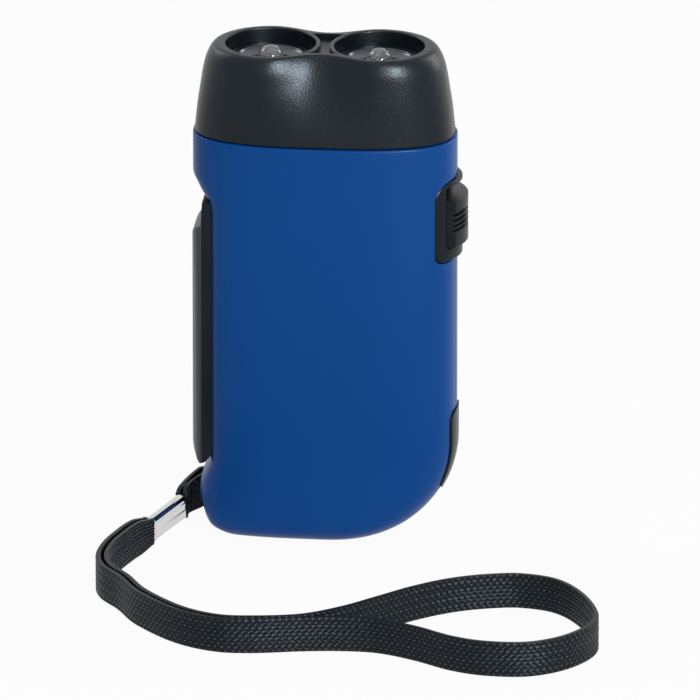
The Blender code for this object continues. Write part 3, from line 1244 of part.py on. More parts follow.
def smooth_route(points, step):
    """Places along a smooth curve through the points, about one step apart."""
    points = [Vector(point) for point in points]
    padded = [2 * points[0] - points[1]] + points + [2 * points[-1] - points[-2]]
    route = []
    for before, start, end, after in zip(padded, padded[1:], padded[2:], padded[3:]):
        count = max(1, round((end - start).length / step))
        for number in range(count):
            t = number / count
            route.append(0.5 * (2 * start + (end - before) * t
                                + (2 * before - 5 * start + 4 * end - after) * t ** 2
                                + (3 * start - 3 * end + after - before) * t ** 3))
    return route + [points[-1]]


def ribbon(name, route, thickness):
    """A flat band on edge: a rectangle swept along a route of (x, y, z) middles."""
    rings = []
    for number, place in enumerate(route):
        ahead = route[min(number + 1, len(route) - 1)] - route[max(number - 1, 0)]
        heading = Vector((ahead.x, ahead.y, 0.0)).normalized()
        across = Vector((-heading.y, heading.x, 0.0)) * thickness / 2
        up = Vector((0.0, 0.0, STRAP_WIDTH / 2))
        rings.append([place + across + up, place - across + up, place - across - up, place + across - up])
    return loft(name, rings)


def make_strap():
    """Anchor pin, tab round it, crimp, doubled lead and open loop."""
    pin = rod("strap_pin", (ANCHOR_X, ANCHOR_Y, ANCHOR_SLOT_LOW_Z - ANCHOR_PIN_FOOT),
              (ANCHOR_X, ANCHOR_Y, ANCHOR_SLOT_HIGH_Z + ANCHOR_PIN_SINK), ANCHOR_PIN_RADIUS,
              segments=SMALL_SEGMENTS)
    finish(pin, "steel")
    floor_z = STRAP_FLOOR_GAP + STRAP_WIDTH / 2
    anchor = Vector((ANCHOR_X, ANCHOR_Y))
    start, end = anchor + Vector(CRIMP_START), anchor + Vector(CRIMP_END)
    heading = (end - start).normalized()
    for tube, side in (("strap_crimp", -1), ("crimp_upper", 1)):
        z = floor_z + side * CRIMP_TUBE_PITCH / 2
        rod(tube, (*start, z), (*end, z), CRIMP_RADIUS, segments=SMALL_SEGMENTS)
    crimp = join(bpy.data.objects["strap_crimp"], bpy.data.objects["crimp_upper"])
    finish(crimp, "steel")
    wrap = ANCHOR_PIN_RADIUS + GAP + STRAP_THICKNESS / 2
    meet = start - heading * GAP
    outward = (meet - anchor).normalized()
    sideways = Vector((-outward.y, outward.x))
    ply = STRAP_PLY_PITCH / 2
    turns = [math.pi * (share - 0.5) for share in (0.0, 0.25, 0.5, 0.75, 1.0)]
    around = [anchor - outward * wrap * math.cos(turn) + sideways * wrap * math.sin(turn) for turn in turns]
    square = Vector((-heading.y, heading.x)) * ply
    near = meet - heading * STRAP_THICKNESS * 2
    flat = [meet - square, near - square] + around + [near + square, meet + square]
    places = []
    for place in smooth_route(flat, STRAP_STEP / 4):
        along = (place - anchor).dot(outward) / (meet - anchor).length
        drop = min(max((along - TAB_LEVEL_SHARE) / (1 - TAB_LEVEL_SHARE), 0.0), 1.0)
        places.append(Vector((*place, TAB_MIDDLE_Z + (floor_z - TAB_MIDDLE_Z) * drop)))
    finish(ribbon("strap_tab", places, STRAP_THICKNESS), "nylon")
    lead = [Vector((*(anchor + place), floor_z)) for place in smooth_route(LEAD_ROUTE, STRAP_STEP)]
    finish(ribbon("strap_lead", lead, STRAP_THICKNESS + STRAP_PLY_PITCH), "nylon")
    loop = [Vector((*(anchor + place), floor_z)) for place in smooth_route(LOOP_ROUTE, STRAP_STEP)]
    finish(ribbon("strap_loop", loop, STRAP_THICKNESS), "nylon")


def main():
    make_shells()
    make_head()
    make_lamps()
    make_lever()
    make_spring()
    make_gears()
    make_generator()
    make_gear_plates()
    make_switch()
    make_battery()
    make_screws()
    make_plug()
    make_strap()


main()
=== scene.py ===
"""Looks of a hand-press dynamo flashlight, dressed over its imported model.

The flashlight stands upright on a pale floor with its wrist strap laid out in front.
All lengths are metres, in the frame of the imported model.
"""

import logging
import math
from collections.abc import Callable, Sequence
from dataclasses import dataclass, field
from enum import Enum

import bmesh
import bpy
import numpy as np
from mathutils import Matrix, Vector


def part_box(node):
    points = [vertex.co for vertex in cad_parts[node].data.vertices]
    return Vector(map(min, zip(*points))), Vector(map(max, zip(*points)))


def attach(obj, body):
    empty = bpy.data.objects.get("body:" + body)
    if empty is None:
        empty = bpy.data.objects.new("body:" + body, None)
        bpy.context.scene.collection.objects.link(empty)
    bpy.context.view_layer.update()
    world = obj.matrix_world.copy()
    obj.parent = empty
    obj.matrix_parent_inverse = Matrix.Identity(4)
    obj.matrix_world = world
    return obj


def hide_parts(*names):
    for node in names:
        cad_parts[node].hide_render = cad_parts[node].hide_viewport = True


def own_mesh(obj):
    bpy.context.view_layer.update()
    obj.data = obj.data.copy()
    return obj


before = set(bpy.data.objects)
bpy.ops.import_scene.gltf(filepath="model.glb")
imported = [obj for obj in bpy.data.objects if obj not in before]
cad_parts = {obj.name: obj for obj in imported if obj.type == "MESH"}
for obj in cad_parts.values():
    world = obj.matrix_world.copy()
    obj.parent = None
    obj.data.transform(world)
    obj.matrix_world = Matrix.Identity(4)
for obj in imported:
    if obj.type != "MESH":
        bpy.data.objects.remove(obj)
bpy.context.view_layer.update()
LOG = logging.getLogger("flashlight")

# Clearance between pieces that fit together, and how far a cutter reaches past what it cuts
GAP = 0.0003
OVERRUN = 0.003
SMOOTH_ANGLE = math.radians(35)
QUARTER = math.pi / 2
# Exponent of the rounded box sections that the shells and the head share
CORNER_SHARPNESS = 2.7
# Tint of the highlights on plastic and nylon, which the photo shows slightly blue
COOL_SHINE = "#dceaf6"
WEAVE_ATTRIBUTE = "weave_height"
WEAVE_MAP = "weave_map"
Point = tuple[float, float, float]
Flat = tuple[float, float]
Piece = bpy.types.Object


class Body(Enum):
    """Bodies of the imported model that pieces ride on."""

    HOUSING = "housing"
    LEVER = "lever"
    FIRST_GEAR = "first_gear"
    SECOND_GEAR = "second_gear"
    ROTOR = "rotor"
    SWITCH = "switch"


# Colour and material helpers


def linear(hex_colour: str) -> tuple[float, float, float, float]:
    """Turn an sRGB hex value into linear colour.

    Args:
        hex_colour: Six hex digits after a hash sign.

    Returns:
        Linear red, green, blue and an alpha of one.
    """
    digits = hex_colour.lstrip("#")
    channels = [int(digits[place:place + 2], 16) / 255 for place in (0, 2, 4)]
    red, green, blue = (value / 12.92 if value <= 0.04045 else ((value + 0.055) / 1.055) ** 2.4
                        for value in channels)
    return red, green, blue, 1.0


def add_node(tree: bpy.types.NodeTree, kind: str, settings: dict | None = None,
             links: dict | None = None) -> bpy.types.Node:
    """Add a node with its settings and its incoming links.

    Args:
        tree: The node tree that gets the node.
        kind: Blender's name of the node type.
        settings: Socket values by name or index; a name with a leading dot is an attribute.
        links: Output sockets by the name or index of the input they feed.

    Returns:
        The new node.
    """
    node = tree.nodes.new(kind)
    for name, value in (settings or {}).items():
        if isinstance(name, str) and name.startswith("."):
            setattr(node, name[1:], value)
        else:
            node.inputs[name].default_value = value
    for name, socket in (links or {}).items():
        tree.links.new(socket, node.inputs[name])
    return node


def start_material(name: str, settings: dict) -> tuple[bpy.types.Material, bpy.types.NodeTree]:
    """Make a node material and set its shader's own sockets.

    Args:
        name: What the material is and how it was made.
        settings: Socket values of the shader by name.

    Returns:
        The material and its node tree.
    """
    material = bpy.data.materials.new(name)
    material.use_nodes = True
    tree = material.node_tree
    for socket, value in settings.items():
        tree.nodes["Principled BSDF"].inputs[socket].default_value = value
    return material, tree


def feed(tree: bpy.types.NodeTree, links: dict) -> None:
    """Link output sockets to the shader's inputs, by name."""
    for name, socket in links.items():
        tree.links.new(socket, tree.nodes["Principled BSDF"].inputs[name])


@dataclass(frozen=True)
class Moulding:
    """A moulded plastic with a faint surface texture.

    Attributes:
        name: What the plastic is and how it was made.
        colour: Main colour in hex.
        second: Colour it drifts to, in hex.
        roughness: Middle roughness.
        drift: How far the roughness wanders.
        grain: Size of the texture in metres.
        relief: Height of the texture in metres.
        shine: Specular level of the skin; one half is bare plastic without texture.
        coat: Strength of a clear skin on top.
        cloud: Size of the colour drift in metres.
        smear: Size of the roughness drift in metres.
    """

    name: str
    colour: str
    second: str
    roughness: float
    drift: float
    grain: float
    relief: float
    shine: float = 0.3
    coat: float = 0.0
    cloud: float = 0.03
    smear: float = 0.006

    def material(self) -> bpy.types.Material:
        """Build the node material.

        Returns:
            The material.
        """
        material, tree = start_material(self.name, {
            "IOR": 1.5, "Specular IOR Level": self.shine, "Specular Tint": linear(COOL_SHINE),
            "Coat Weight": self.coat, "Coat Roughness": 0.12})
        place = add_node(tree, "ShaderNodeTexCoord").outputs["Object"]
        cloud = add_node(tree, "ShaderNodeTexNoise", {"Scale": 1 / self.cloud, "Detail": 3.0},
                         {"Vector": place})
        blend = add_node(tree, "ShaderNodeMix", {".data_type": "RGBA", 6: linear(self.colour),
                                                 7: linear(self.second)}, {0: cloud.outputs["Fac"]})
        smear = add_node(tree, "ShaderNodeTexNoise", {"Scale": 1 / self.smear, "Detail": 4.0},
                         {"Vector": place})
        gloss = add_node(tree, "ShaderNodeMapRange", {"To Min": self.roughness - self.drift,
                                                      "To Max": self.roughness + self.drift},
                         {"Value": smear.outputs["Fac"]})
        texture = add_node(tree, "ShaderNodeTexNoise", {"Scale": 1 / self.grain, "Detail": 2.0,
                                                        "Roughness": 0.6}, {"Vector": place})
        bump = add_node(tree, "ShaderNodeBump", {"Strength": 1.0, "Distance": self.relief},
                        {"Height": texture.outputs["Fac"]})
        feed(tree, {"Base Color": blend.outputs[2], "Roughness": gloss.outputs["Result"],
                    "Normal": bump.outputs["Normal"]})
        return material


@dataclass(frozen=True)
class MetalFinish:
    """A metal with fine marks from how it was drawn, turned or plated.

    Attributes:
        name: What the metal is and how it was finished.
        colour: Reflection colour in hex.
        roughness: Middle roughness.
        mark: Spacing of the marks in metres.
        relief: Depth of the marks in metres.
        stretch: How much longer the marks are along Y than across.
        dulled: Colour of the dulled spots in hex.
    """

    name: str
    colour: str
    roughness: float
    mark: float
    relief: float
    stretch: float
    dulled: str = "#6f7072"

    def material(self) -> bpy.types.Material:
        """Build the node material.

        Returns:
            The material.
        """
        material, tree = start_material(self.name, {"Metallic": 1.0})
        place = add_node(tree, "ShaderNodeTexCoord").outputs["Object"]
        drawn = add_node(tree, "ShaderNodeMapping", {"Scale": (1.0, 1.0 / self.stretch, 1.0)},
                         {"Vector": place})
        marks = add_node(tree, "ShaderNodeTexNoise", {"Scale": 1 / self.mark, "Detail": 3.0},
                         {"Vector": drawn.outputs["Vector"]}).outputs["Fac"]
        gloss = add_node(tree, "ShaderNodeMapRange", {"To Min": self.roughness * 0.75,
                                                      "To Max": self.roughness * 1.3}, {"Value": marks})
        bump = add_node(tree, "ShaderNodeBump", {"Strength": 1.0, "Distance": self.relief}, {"Height": marks})
        wear_and_glint = add_node(tree, "ShaderNodeMapRange", {"From Min": 0.55, "From Max": 0.9, "To Max": 0.35},
                        {"Value": marks})
        tint = add_node(tree, "ShaderNodeMix", {".data_type": "RGBA", 6: linear(self.colour),
                                                7: linear(self.dulled)}, {0: wear_and_glint.outputs["Result"]})
        feed(tree, {"Base Color": tint.outputs[2], "Roughness": gloss.outputs["Result"],
                    "Normal": bump.outputs["Normal"]})
        return material


@dataclass(frozen=True)
class WovenNylon:
    """Flat woven nylon webbing whose thread relief is in the mesh.

    Attributes:
        name: What the cloth is and how it was made.
        hollow: Painted shade colour between the threads, in hex.
        thread: Colour of the threads in hex.
        glint: Painted highlight colour on the very tops of the crowns, in hex.
        filament: Spacing of the filaments in a thread, drawn coarse enough to show.
    """

    name: str = "woven nylon webbing"
    hollow: str = "#04070a"
    thread: str = "#10151b"
    glint: str = "#7b858f"
    filament: float = 0.00016

    def material(self) -> bpy.types.Material:
        """Build the node material from the mesh's own weave attribute and UV map.

        Returns:
            The material.
        """
        material, tree = start_material(self.name, {"Roughness": 0.42, "Specular IOR Level": 0.2,
                                                    "Specular Tint": linear(COOL_SHINE)})
        crown = add_node(tree, "ShaderNodeAttribute", {".attribute_name": WEAVE_ATTRIBUTE})
        along = add_node(tree, "ShaderNodeUVMap", {".uv_map": WEAVE_MAP})
        fibres = add_node(tree, "ShaderNodeTexNoise", {"Scale": 1 / self.filament, "Detail": 2.0},
                          {"Vector": along.outputs["UV"]})
        lit = add_node(tree, "ShaderNodeMath", {".operation": "MULTIPLY_ADD", 1: 0.5},
                       {0: fibres.outputs["Fac"], 2: crown.outputs["Fac"]}).outputs["Value"]
        # Painted shade: the colour runs from the dark hollow colour between the threads to the thread colour
        # on the crowns, with fibre noise mixed in
        ramp = add_node(tree, "ShaderNodeMapRange", {"From Min": 0.35, "From Max": 1.25}, {"Value": lit})
        blend = add_node(tree, "ShaderNodeMix", {".data_type": "RGBA", 6: linear(self.hollow),
                                                 7: linear(self.thread)}, {0: ramp.outputs["Result"]})
        # Painted highlight: the very tops of the crowns are mixed toward the light glint colour
        top = add_node(tree, "ShaderNodeMapRange", {"From Min": 1.08, "From Max": 1.24}, {"Value": lit})
        wear_and_glint = add_node(tree, "ShaderNodeMix", {".data_type": "RGBA", 7: linear(self.glint)},
                        {0: top.outputs["Result"], 6: blend.outputs[2]})
        bump = add_node(tree, "ShaderNodeBump", {"Strength": 0.7, "Distance": 0.00005},
                        {"Height": fibres.outputs["Fac"]})
        feed(tree, {"Base Color": wear_and_glint.outputs[2], "Normal": bump.outputs["Normal"]})
        return material


@dataclass(frozen=True)
class CastEpoxy:
    """Water-clear cast epoxy of a lamp bulb."""

    name: str = "cast clear epoxy"
    tint: str = "#f4f7f8"
    ripple: float = 0.002

    def material(self) -> bpy.types.Material:
        """Build the node material, with faint flow ripples in the cast surface.

        Returns:
            The material.
        """
        material, tree = start_material(self.name, {"Base Color": linear(self.tint), "Roughness": 0.02,
                                                    "IOR": 1.53, "Transmission Weight": 0.9})
        place = add_node(tree, "ShaderNodeTexCoord").outputs["Object"]
        flow = add_node(tree, "ShaderNodeTexNoise", {"Scale": 1 / self.ripple, "Detail": 1.0},
                        {"Vector": place})
        bump = add_node(tree, "ShaderNodeBump", {"Strength": 0.3, "Distance": 0.000004},
                        {"Height": flow.outputs["Fac"]})
        feed(tree, {"Normal": bump.outputs["Normal"]})
        return material


class Finishes:
    """Every finish of the flashlight, built once."""

    def __init__(self) -> None:
        """Build the materials."""
        # Injection-moulded ABS from a polished tool: even colour and soft broad highlights
        self.blue = Moulding("polished moulded blue abs", "#004185", "#02458c", 0.36, 0.03,
                             0.0012, 0.000006, 0.16).material()
        # ABS from a spark-eroded tool: a fine grain that spreads the highlights
        self.grained = Moulding("grained moulded black abs", "#050a11", "#080e15", 0.34, 0.03,
                                0.0004, 0.00005, 0.3).material()
        # The same plastic from a smoother tool, as on the lever and switch
        self.satin = Moulding("satin moulded black abs", "#080e15", "#0b1219", 0.34, 0.04,
                              0.0007, 0.000006, 0.2).material()
        # Dark plated reflector cup, glossy with small ripples
        self.dish = Moulding("gloss moulded dark reflector", "#14181d", "#1a1f25", 0.12, 0.03,
                             0.0015, 0.000003, 0.7, 0.3).material()
        # Unfilled acetal, white with a waxy shine
        self.acetal = Moulding("natural moulded acetal", "#e2dfd6", "#d9d5ca", 0.42, 0.05,
                               0.0006, 0.000004, 0.5).material()
        # Cut steel wire and pins with drawing marks
        self.steel = MetalFinish("drawn steel", "#b4b5b7", 0.3, 0.0002, 0.000002, 12.0).material()
        # Bright nickel over pressed steel, slightly dulled by handling
        self.nickel = MetalFinish("nickel-plated pressed steel", "#b9b8b4", 0.24,
                                  0.0008, 0.000012, 3.0).material()
        # Bright chromium over a rolled brass strip
        self.chrome = MetalFinish("bright chrome-plated crimp", "#cfcfcd", 0.08,
                                  0.0012, 0.000004, 4.0).material()
        # Enamelled copper magnet wire
        self.copper = MetalFinish("enamelled copper wire", "#b4622e", 0.25, 0.0003, 0.000002, 4.0).material()
        # Pressed ferrite, dark grey and matt
        self.ferrite = Moulding("pressed ferrite", "#3a3a3c", "#2f2f31", 0.62, 0.06,
                                0.0003, 0.00001).material()
        # Glass-fibre board under green solder mask
        self.board = Moulding("green masked circuit board", "#1d6a37", "#195c30", 0.35, 0.05,
                              0.0005, 0.000005, 0.5, 0.3).material()
        self.nylon = WovenNylon().material()
        self.epoxy = CastEpoxy().material()


# Mesh helpers


def finish_mesh(shape: bmesh.types.BMesh, name: str, turn_out: bool = True) -> Piece:
    """Make an object from a filled bmesh and shade it smooth but for its sharp edges.

    Args:
        shape: The bmesh, freed here.
        name: Name of the object.
        turn_out: Whether to work the outward side of the faces out anew.

    Returns:
        The new object, linked to the scene.
    """
    if turn_out:
        bmesh.ops.recalc_face_normals(shape, faces=shape.faces)
    mesh = bpy.data.meshes.new(name)
    shape.to_mesh(mesh)
    shape.free()
    mesh.shade_smooth()
    mesh.set_sharp_from_angle(angle=SMOOTH_ANGLE)
    piece = bpy.data.objects.new(name, mesh)
    bpy.context.scene.collection.objects.link(piece)
    return piece


def bridge_rings(name: str, rings: Sequence[Sequence[Point]], looped: bool = False) -> Piece:
    """Skin a row of closed rings.

    Args:
        name: Name of the object.
        rings: Rings with equal point counts.
        looped: Whether the last ring joins the first, where both ends are else closed by a face.

    Returns:
        The new object.
    """
    shape = bmesh.new()
    rows = [[shape.verts.new(point) for point in ring] for ring in rings]
    count = len(rows[0])
    pairs = list(zip(rows, rows[1:]))
    if looped:
        pairs.append((rows[-1], rows[0]))
    for lower, upper in pairs:
        for step in range(count):
            following = (step + 1) % count
            shape.faces.new((lower[step], lower[following], upper[following], upper[step]))
    if not looped:
        shape.faces.new(list(reversed(rows[0])))
        shape.faces.new(rows[-1])
    return finish_mesh(shape, name)


def turned(name: str, profile: Sequence[Flat], centre: Flat, steps: int = 96) -> Piece:
    """Turn a closed profile of (radius, height) about an upright axis.

    Args:
        name: Name of the object.
        profile: Points of the profile; it closes on itself or on the axis.
        centre: X and Y of the axis.
        steps: Segments round the axis.

    Returns:
        The turned solid.
    """
    shape = bmesh.new()
    on_axis = profile[0][0] == 0.0
    rows = []
    for radius, height in profile:
        if radius == 0.0:
            rows.append([shape.verts.new((centre[0], centre[1], height))])
            continue
        ring = []
        for step in range(steps):
            turn = 2 * math.pi * step / steps
            ring.append(shape.verts.new((centre[0] + radius * math.cos(turn),
                                         centre[1] + radius * math.sin(turn), height)))
        rows.append(ring)
    pairs = list(zip(rows, rows[1:]))
    if not on_axis:
        pairs.append((rows[-1], rows[0]))
    for first, second in pairs:
        for step in range(steps):
            following = (step + 1) % steps
            corners = [first[step % len(first)], first[following % len(first)],
                       second[following % len(second)], second[step % len(second)]]
            corners = list(dict.fromkeys(corners))
            if len(corners) > 2:
                shape.faces.new(corners)
    return finish_mesh(shape, name)


def block(name: str, low: Sequence[float], high: Sequence[float]) -> Piece:
    """A box used to cut with.

    Args:
        name: Name of the object.
        low: Lowest corner.
        high: Highest corner.

    Returns:
        The box.
    """
    size = Vector(high) - Vector(low)
    middle = (Vector(high) + Vector(low)) / 2
    shape = bmesh.new()
    bmesh.ops.create_cube(shape, size=1.0,
                          matrix=Matrix.Translation(middle) @ Matrix.Diagonal((*size, 1.0)))
    return finish_mesh(shape, name)


def round_bar(name: str, start: Sequence[float], end: Sequence[float], radius: float,
              steps: int = 48) -> Piece:
    """A cylinder between two points, used to cut with or as a core.

    Args:
        name: Name of the object.
        start: Middle of the first end.
        end: Middle of the last end.
        radius: Radius.
        steps: Segments round it.

    Returns:
        The cylinder.
    """
    first, last = Vector(start), Vector(end)
    run = last - first
    place = Matrix.Translation((first + last) / 2) @ run.to_track_quat("Z", "Y").to_matrix().to_4x4()
    shape = bmesh.new()
    bmesh.ops.create_cone(shape, cap_ends=True, segments=steps, radius1=radius, radius2=radius,
                          depth=run.length, matrix=place)
    return finish_mesh(shape, name)


def prism(name: str, outline: Sequence[Flat], low: float, high: float,
          place: Callable[[float, float, float], Point]) -> Piece:
    """Thicken a flat outline between two levels.

    Args:
        name: Name of the object.
        outline: Points of the outline.
        low: Lower level.
        high: Upper level.
        place: Turns (first, second, level) into a place in the frame.

    Returns:
        The closed solid.
    """
    rings = [[place(first, second, level) for first, second in outline] for level in (low, high)]
    return bridge_rings(name, rings)


def carve(piece: Piece, tools: Sequence[Piece],
          operation: str = "DIFFERENCE") -> Piece:
    """Apply exact booleans to a piece and delete the tools.

    Args:
        piece: The solid that is changed.
        tools: The solids it is cut by, trimmed to or joined with.
        operation: Blender's name of the boolean.

    Returns:
        The same object with its new mesh.
    """
    for tool in tools:
        step = piece.modifiers.new(tool.name, "BOOLEAN")
        step.operation = operation
        step.solver = "EXACT"
        step.object = tool
    settle(piece)
    for tool in tools:
        bpy.data.objects.remove(tool, do_unlink=True)
    return piece


def settle(piece: Piece) -> Piece:
    """Apply every modifier of a piece to its mesh and shade it again.

    Args:
        piece: The piece, changed in place.

    Returns:
        The same object.
    """
    bpy.context.view_layer.update()
    evaluated = piece.evaluated_get(bpy.context.evaluated_depsgraph_get())
    mesh = bpy.data.meshes.new_from_object(evaluated)
    piece.modifiers.clear()
    old = piece.data
    piece.data = mesh
    bpy.data.meshes.remove(old)
    mesh.shade_smooth()
    mesh.set_sharp_from_angle(angle=SMOOTH_ANGLE)
    return piece


def soften(piece: Piece, width: float, angle: float = math.radians(40),
           segments: int = 3) -> Piece:
    """Round the sharp edges of a piece.

    Args:
        piece: The piece, changed in place.
        width: How far back the rounding starts.
        angle: Edges sharper than this are rounded.
        segments: Faces across the rounding.

    Returns:
        The same object.
    """
    edge = piece.modifiers.new("rounded edges", "BEVEL")
    edge.width = width
    edge.segments = segments
    edge.limit_method = "ANGLE"
    edge.angle_limit = angle
    return settle(piece)


def dress(piece: Piece, material: bpy.types.Material, body: Body,
          node: str) -> Piece:
    """Give a new piece its finish, let it ride on a body and stand for a node.

    Args:
        piece: The finished mesh.
        material: Its material.
        body: The body it moves with.
        node: The node it replaces, which is hidden.

    Returns:
        The piece.
    """
    piece.data.materials.clear()
    piece.data.materials.append(material)
    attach(piece, body.value)
    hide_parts(node)
    LOG.info("%s stands for %s on %s", piece.name, node, body.value)
    return piece


def smooth_table(rows: Sequence[Flat]) -> Callable[[float], float]:
    """Read a table of (place, value) with a smooth curve that adds no bumps.

    Args:
        rows: Places in rising order with their values.

    Returns:
        A function of the place.
    """
    places = np.array([row[0] for row in rows])
    values = np.array([row[1] for row in rows])
    runs = np.diff(places)
    slopes = np.diff(values) / runs
    tangents = np.zeros(len(rows))
    for inner in range(1, len(rows) - 1):
        before, after = slopes[inner - 1], slopes[inner]
        if before * after > 0:
            tangents[inner] = 2 * before * after / (before + after)
    tangents[0], tangents[-1] = slopes[0], slopes[-1]

    def read(place: float) -> float:
        """Value of the curve at a place.

        Args:
            place: Where the curve is read.

        Returns:
            The value there.
        """
        span = int(np.clip(np.searchsorted(places, place) - 1, 0, len(runs) - 1))
        share = min(max((place - places[span]) / runs[span], 0.0), 1.0)
        square, cube = share ** 2, share ** 3
        return float((2 * cube - 3 * square + 1) * values[span]
                     + (cube - 2 * square + share) * runs[span] * tangents[span]
                     + (3 * square - 2 * cube) * values[span + 1]
                     + (cube - square) * runs[span] * tangents[span + 1])

    return read


def spaced(start: float, end: float, count: int) -> list[float]:
    """Evenly spaced values, the last left out."""
    return [start + (end - start) * step / count for step in range(count)]


def arc(centre: Flat, radius: float, start: float, end: float, steps: int) -> list[Flat]:
    """Points on an arc between two angles, with both ends.

    Args:
        centre: Middle of the circle.
        radius: Its radius.
        start: First angle.
        end: Last angle.
        steps: Steps between them.

    Returns:
        One point more than there are steps.
    """
    return [(centre[0] + radius * math.cos(turn), centre[1] + radius * math.sin(turn))
            for turn in [*spaced(start, end, steps), end]]


def round_over(radius: float, steps: int) -> list[Flat]:
    """How far a rounded edge lies inside its side and below its top, from the side to the top."""
    return [(radius * (1 - math.cos(turn)), radius * (1 - math.sin(turn)))
            for turn in [*spaced(0.0, QUARTER, steps), QUARTER]]


# Housing


@dataclass
class Housing:
    """The two blue shells with their neck, slots and bosses, at full smoothness.

    Attributes:
        left_shares: Heights as shares of the seam's, with the left edge's share of the half width.
        left_blend: How sharply the sections turn into the drawn-in left side; more is sharper.
        neck: Half width, half depth and top of the neck inside the head.
        foot_left: How far the hollow reaches to the left below foot_top, beside the strap.
        brow: Shares of the seam's height between which the left edge turns, over the lever.
    """

    half_width: float = 0.026
    half_depth: float = 0.01265
    seam_z: float = 0.0825
    parting_y: float = -0.002
    wall: float = 0.0018
    bottom_fillet: float = 0.005
    right_corner: float = 0.020
    seam_round: float = 0.00035
    left_blend: float = 14.0
    neck: tuple[float, float, float] = (0.0226, 0.0094, 0.0889)
    neck_wall: float = 0.0016
    cavity_left: float = 0.0203
    cavity_top: float = 0.0805
    foot_left: float = 0.0145
    foot_top: float = 0.0135
    foot_middle: float = 0.008
    brow: Flat = (0.79, 0.92)
    points: int = 176
    left_shares: tuple[Flat, ...] = (
        (0.0, 0.692), (0.0255, 0.878), (0.063, 0.949), (0.0958, 0.9885), (0.1236, 0.9747),
        (0.155, 0.915), (0.183, 0.8696), (0.218, 0.8566), (0.80, 0.8566), (0.842, 0.875),
        (0.851, 0.9116), (0.862, 0.9555), (0.8836, 1.044), (0.909, 1.25), (1.0, 1.25))
    screws: tuple[Flat, ...] = ((-0.0185, 0.076), (0.0195, 0.078), (0.0165, 0.0125), (-0.012, 0.0065))
    screw_seat_y: float = 0.007
    counterbore_radius: float = 0.0023
    boss_radius: float = 0.00275
    slot_z: Flat = (0.0156, 0.070)
    slot_half: float = 0.0076
    slot_inner_x: float = -0.014
    slot_round: float = 0.0008
    strap_z: Flat = (0.0026, 0.0108)
    strap_inner_x: float = -0.0176
    strap_back_y: float = 0.007
    left_edge: Callable[[float], float] = field(init=False)

    def __post_init__(self) -> None:
        """Prepare the curve of the left edge."""
        self.left_edge = smooth_table(self.left_shares)

    def reach(self, half: float, corner: float, z: float, inset: float) -> float:
        """Half size at a height, drawn in by the round corner at the foot.

        Args:
            half: Half size above the corner.
            corner: Radius of the corner.
            z: Height.
            inset: How far the surface is drawn in, evenly.

        Returns:
            The half size.
        """
        if z >= corner:
            return half - inset
        return half - corner + math.sqrt(max((corner - inset) ** 2 - (corner - z) ** 2, 0.0))

    def right_width(self, z: float, inset: float) -> float:
        """Half width on the right at a height."""
        return self.reach(self.half_width, self.right_corner, z, inset)

    def depth(self, z: float, inset: float) -> float:
        """Half depth at a height."""
        return self.reach(self.half_depth, self.bottom_fillet, z, inset)

    def ring(self, z: float, right: float, left: float, depth: float, count: int,
             clip: float | None = None) -> list[Point]:
        """A rounded box section, its left side drawn in to a clip width if one is given.

        Args:
            z: Height.
            right: Half width on the right.
            left: Half width on the left before the clip.
            depth: Half depth.
            count: Points of the ring.
            clip: Half width that the left side is drawn in to.

        Returns:
            The ring.
        """
        ring = []
        power = 2 / CORNER_SHARPNESS
        for step in range(count):
            turn = 2 * math.pi * (step + 0.5) / count
            across, back = math.cos(turn), math.sin(turn)
            x = abs(across) ** power * (right if across > 0 else left)
            if across < 0 and clip:
                x = (x ** -self.left_blend + clip ** -self.left_blend) ** (-1 / self.left_blend)
            ring.append((math.copysign(x, across), math.copysign(abs(back) ** power * depth, back), z))
        return ring

    def heights(self) -> list[float]:
        """Heights of the rings, closest where the form turns.

        Returns:
            Rising heights up to the seam's rounding.
        """
        low = [self.bottom_fillet * (1 - math.cos(turn)) for turn in spaced(0.0, QUARTER, 12)]
        brow_low, brow_high = (self.seam_z * share for share in self.brow)
        runs = ((self.bottom_fillet, self.right_corner, 30), (self.right_corner, brow_low, 20),
                (brow_low, brow_high, 34), (brow_high, self.seam_z - self.seam_round, 6))
        return low + [z for run in runs for z in spaced(*run)]

    def form(self, name: str, grow: float = 0.0) -> Piece:
        """Outer form of both shells, grown or shrunk evenly, with a rounded seam edge.

        Args:
            name: Name of the object.
            grow: How far the surface is grown; negative is inwards.

        Returns:
            The solid.
        """
        rings = []
        for z in self.heights():
            clip = self.half_width * self.left_edge(z / self.seam_z) + grow
            rings.append(self.ring(z, self.right_width(z, -grow), self.half_width + grow,
                                   self.depth(z, -grow), self.points, clip))
        for inset, drop in round_over(self.seam_round, 4):
            width = self.half_width - inset + grow
            rings.append(self.ring(self.seam_z - drop, width, width, self.half_depth - inset + grow,
                                   self.points, self.half_width * self.left_shares[-1][1]))
        return bridge_rings(name, rings)

    def neck_bar(self, name: str, low: float, high: float, inset: float, count: int) -> Piece:
        """An upright bar of the neck's section."""
        width, depth = self.neck[0] - inset, self.neck[1] - inset
        return bridge_rings(name, [self.ring(z, width, width, depth, count) for z in (low, high)])

    def hollow(self) -> Piece:
        """The main hollow less the screw bosses.

        Returns:
            The hollow as a solid.
        """
        rings = []
        for z in (self.wall, self.bottom_fillet, self.foot_middle, self.foot_top - GAP, self.foot_top + GAP,
                  self.right_corner, self.cavity_top):
            left = self.foot_left if z < self.foot_top else self.cavity_left
            rings.append(self.ring(z, self.right_width(z, self.wall), left, self.depth(z, self.wall), 64))
        hollow = bridge_rings("hollow", rings)
        reach = self.half_depth + OVERRUN
        bosses = [round_bar(f"boss {number}", (x, -reach, z), (x, reach, z), self.boss_radius, 24)
                  for number, (x, z) in enumerate(self.screws)]
        return carve(hollow, bosses)

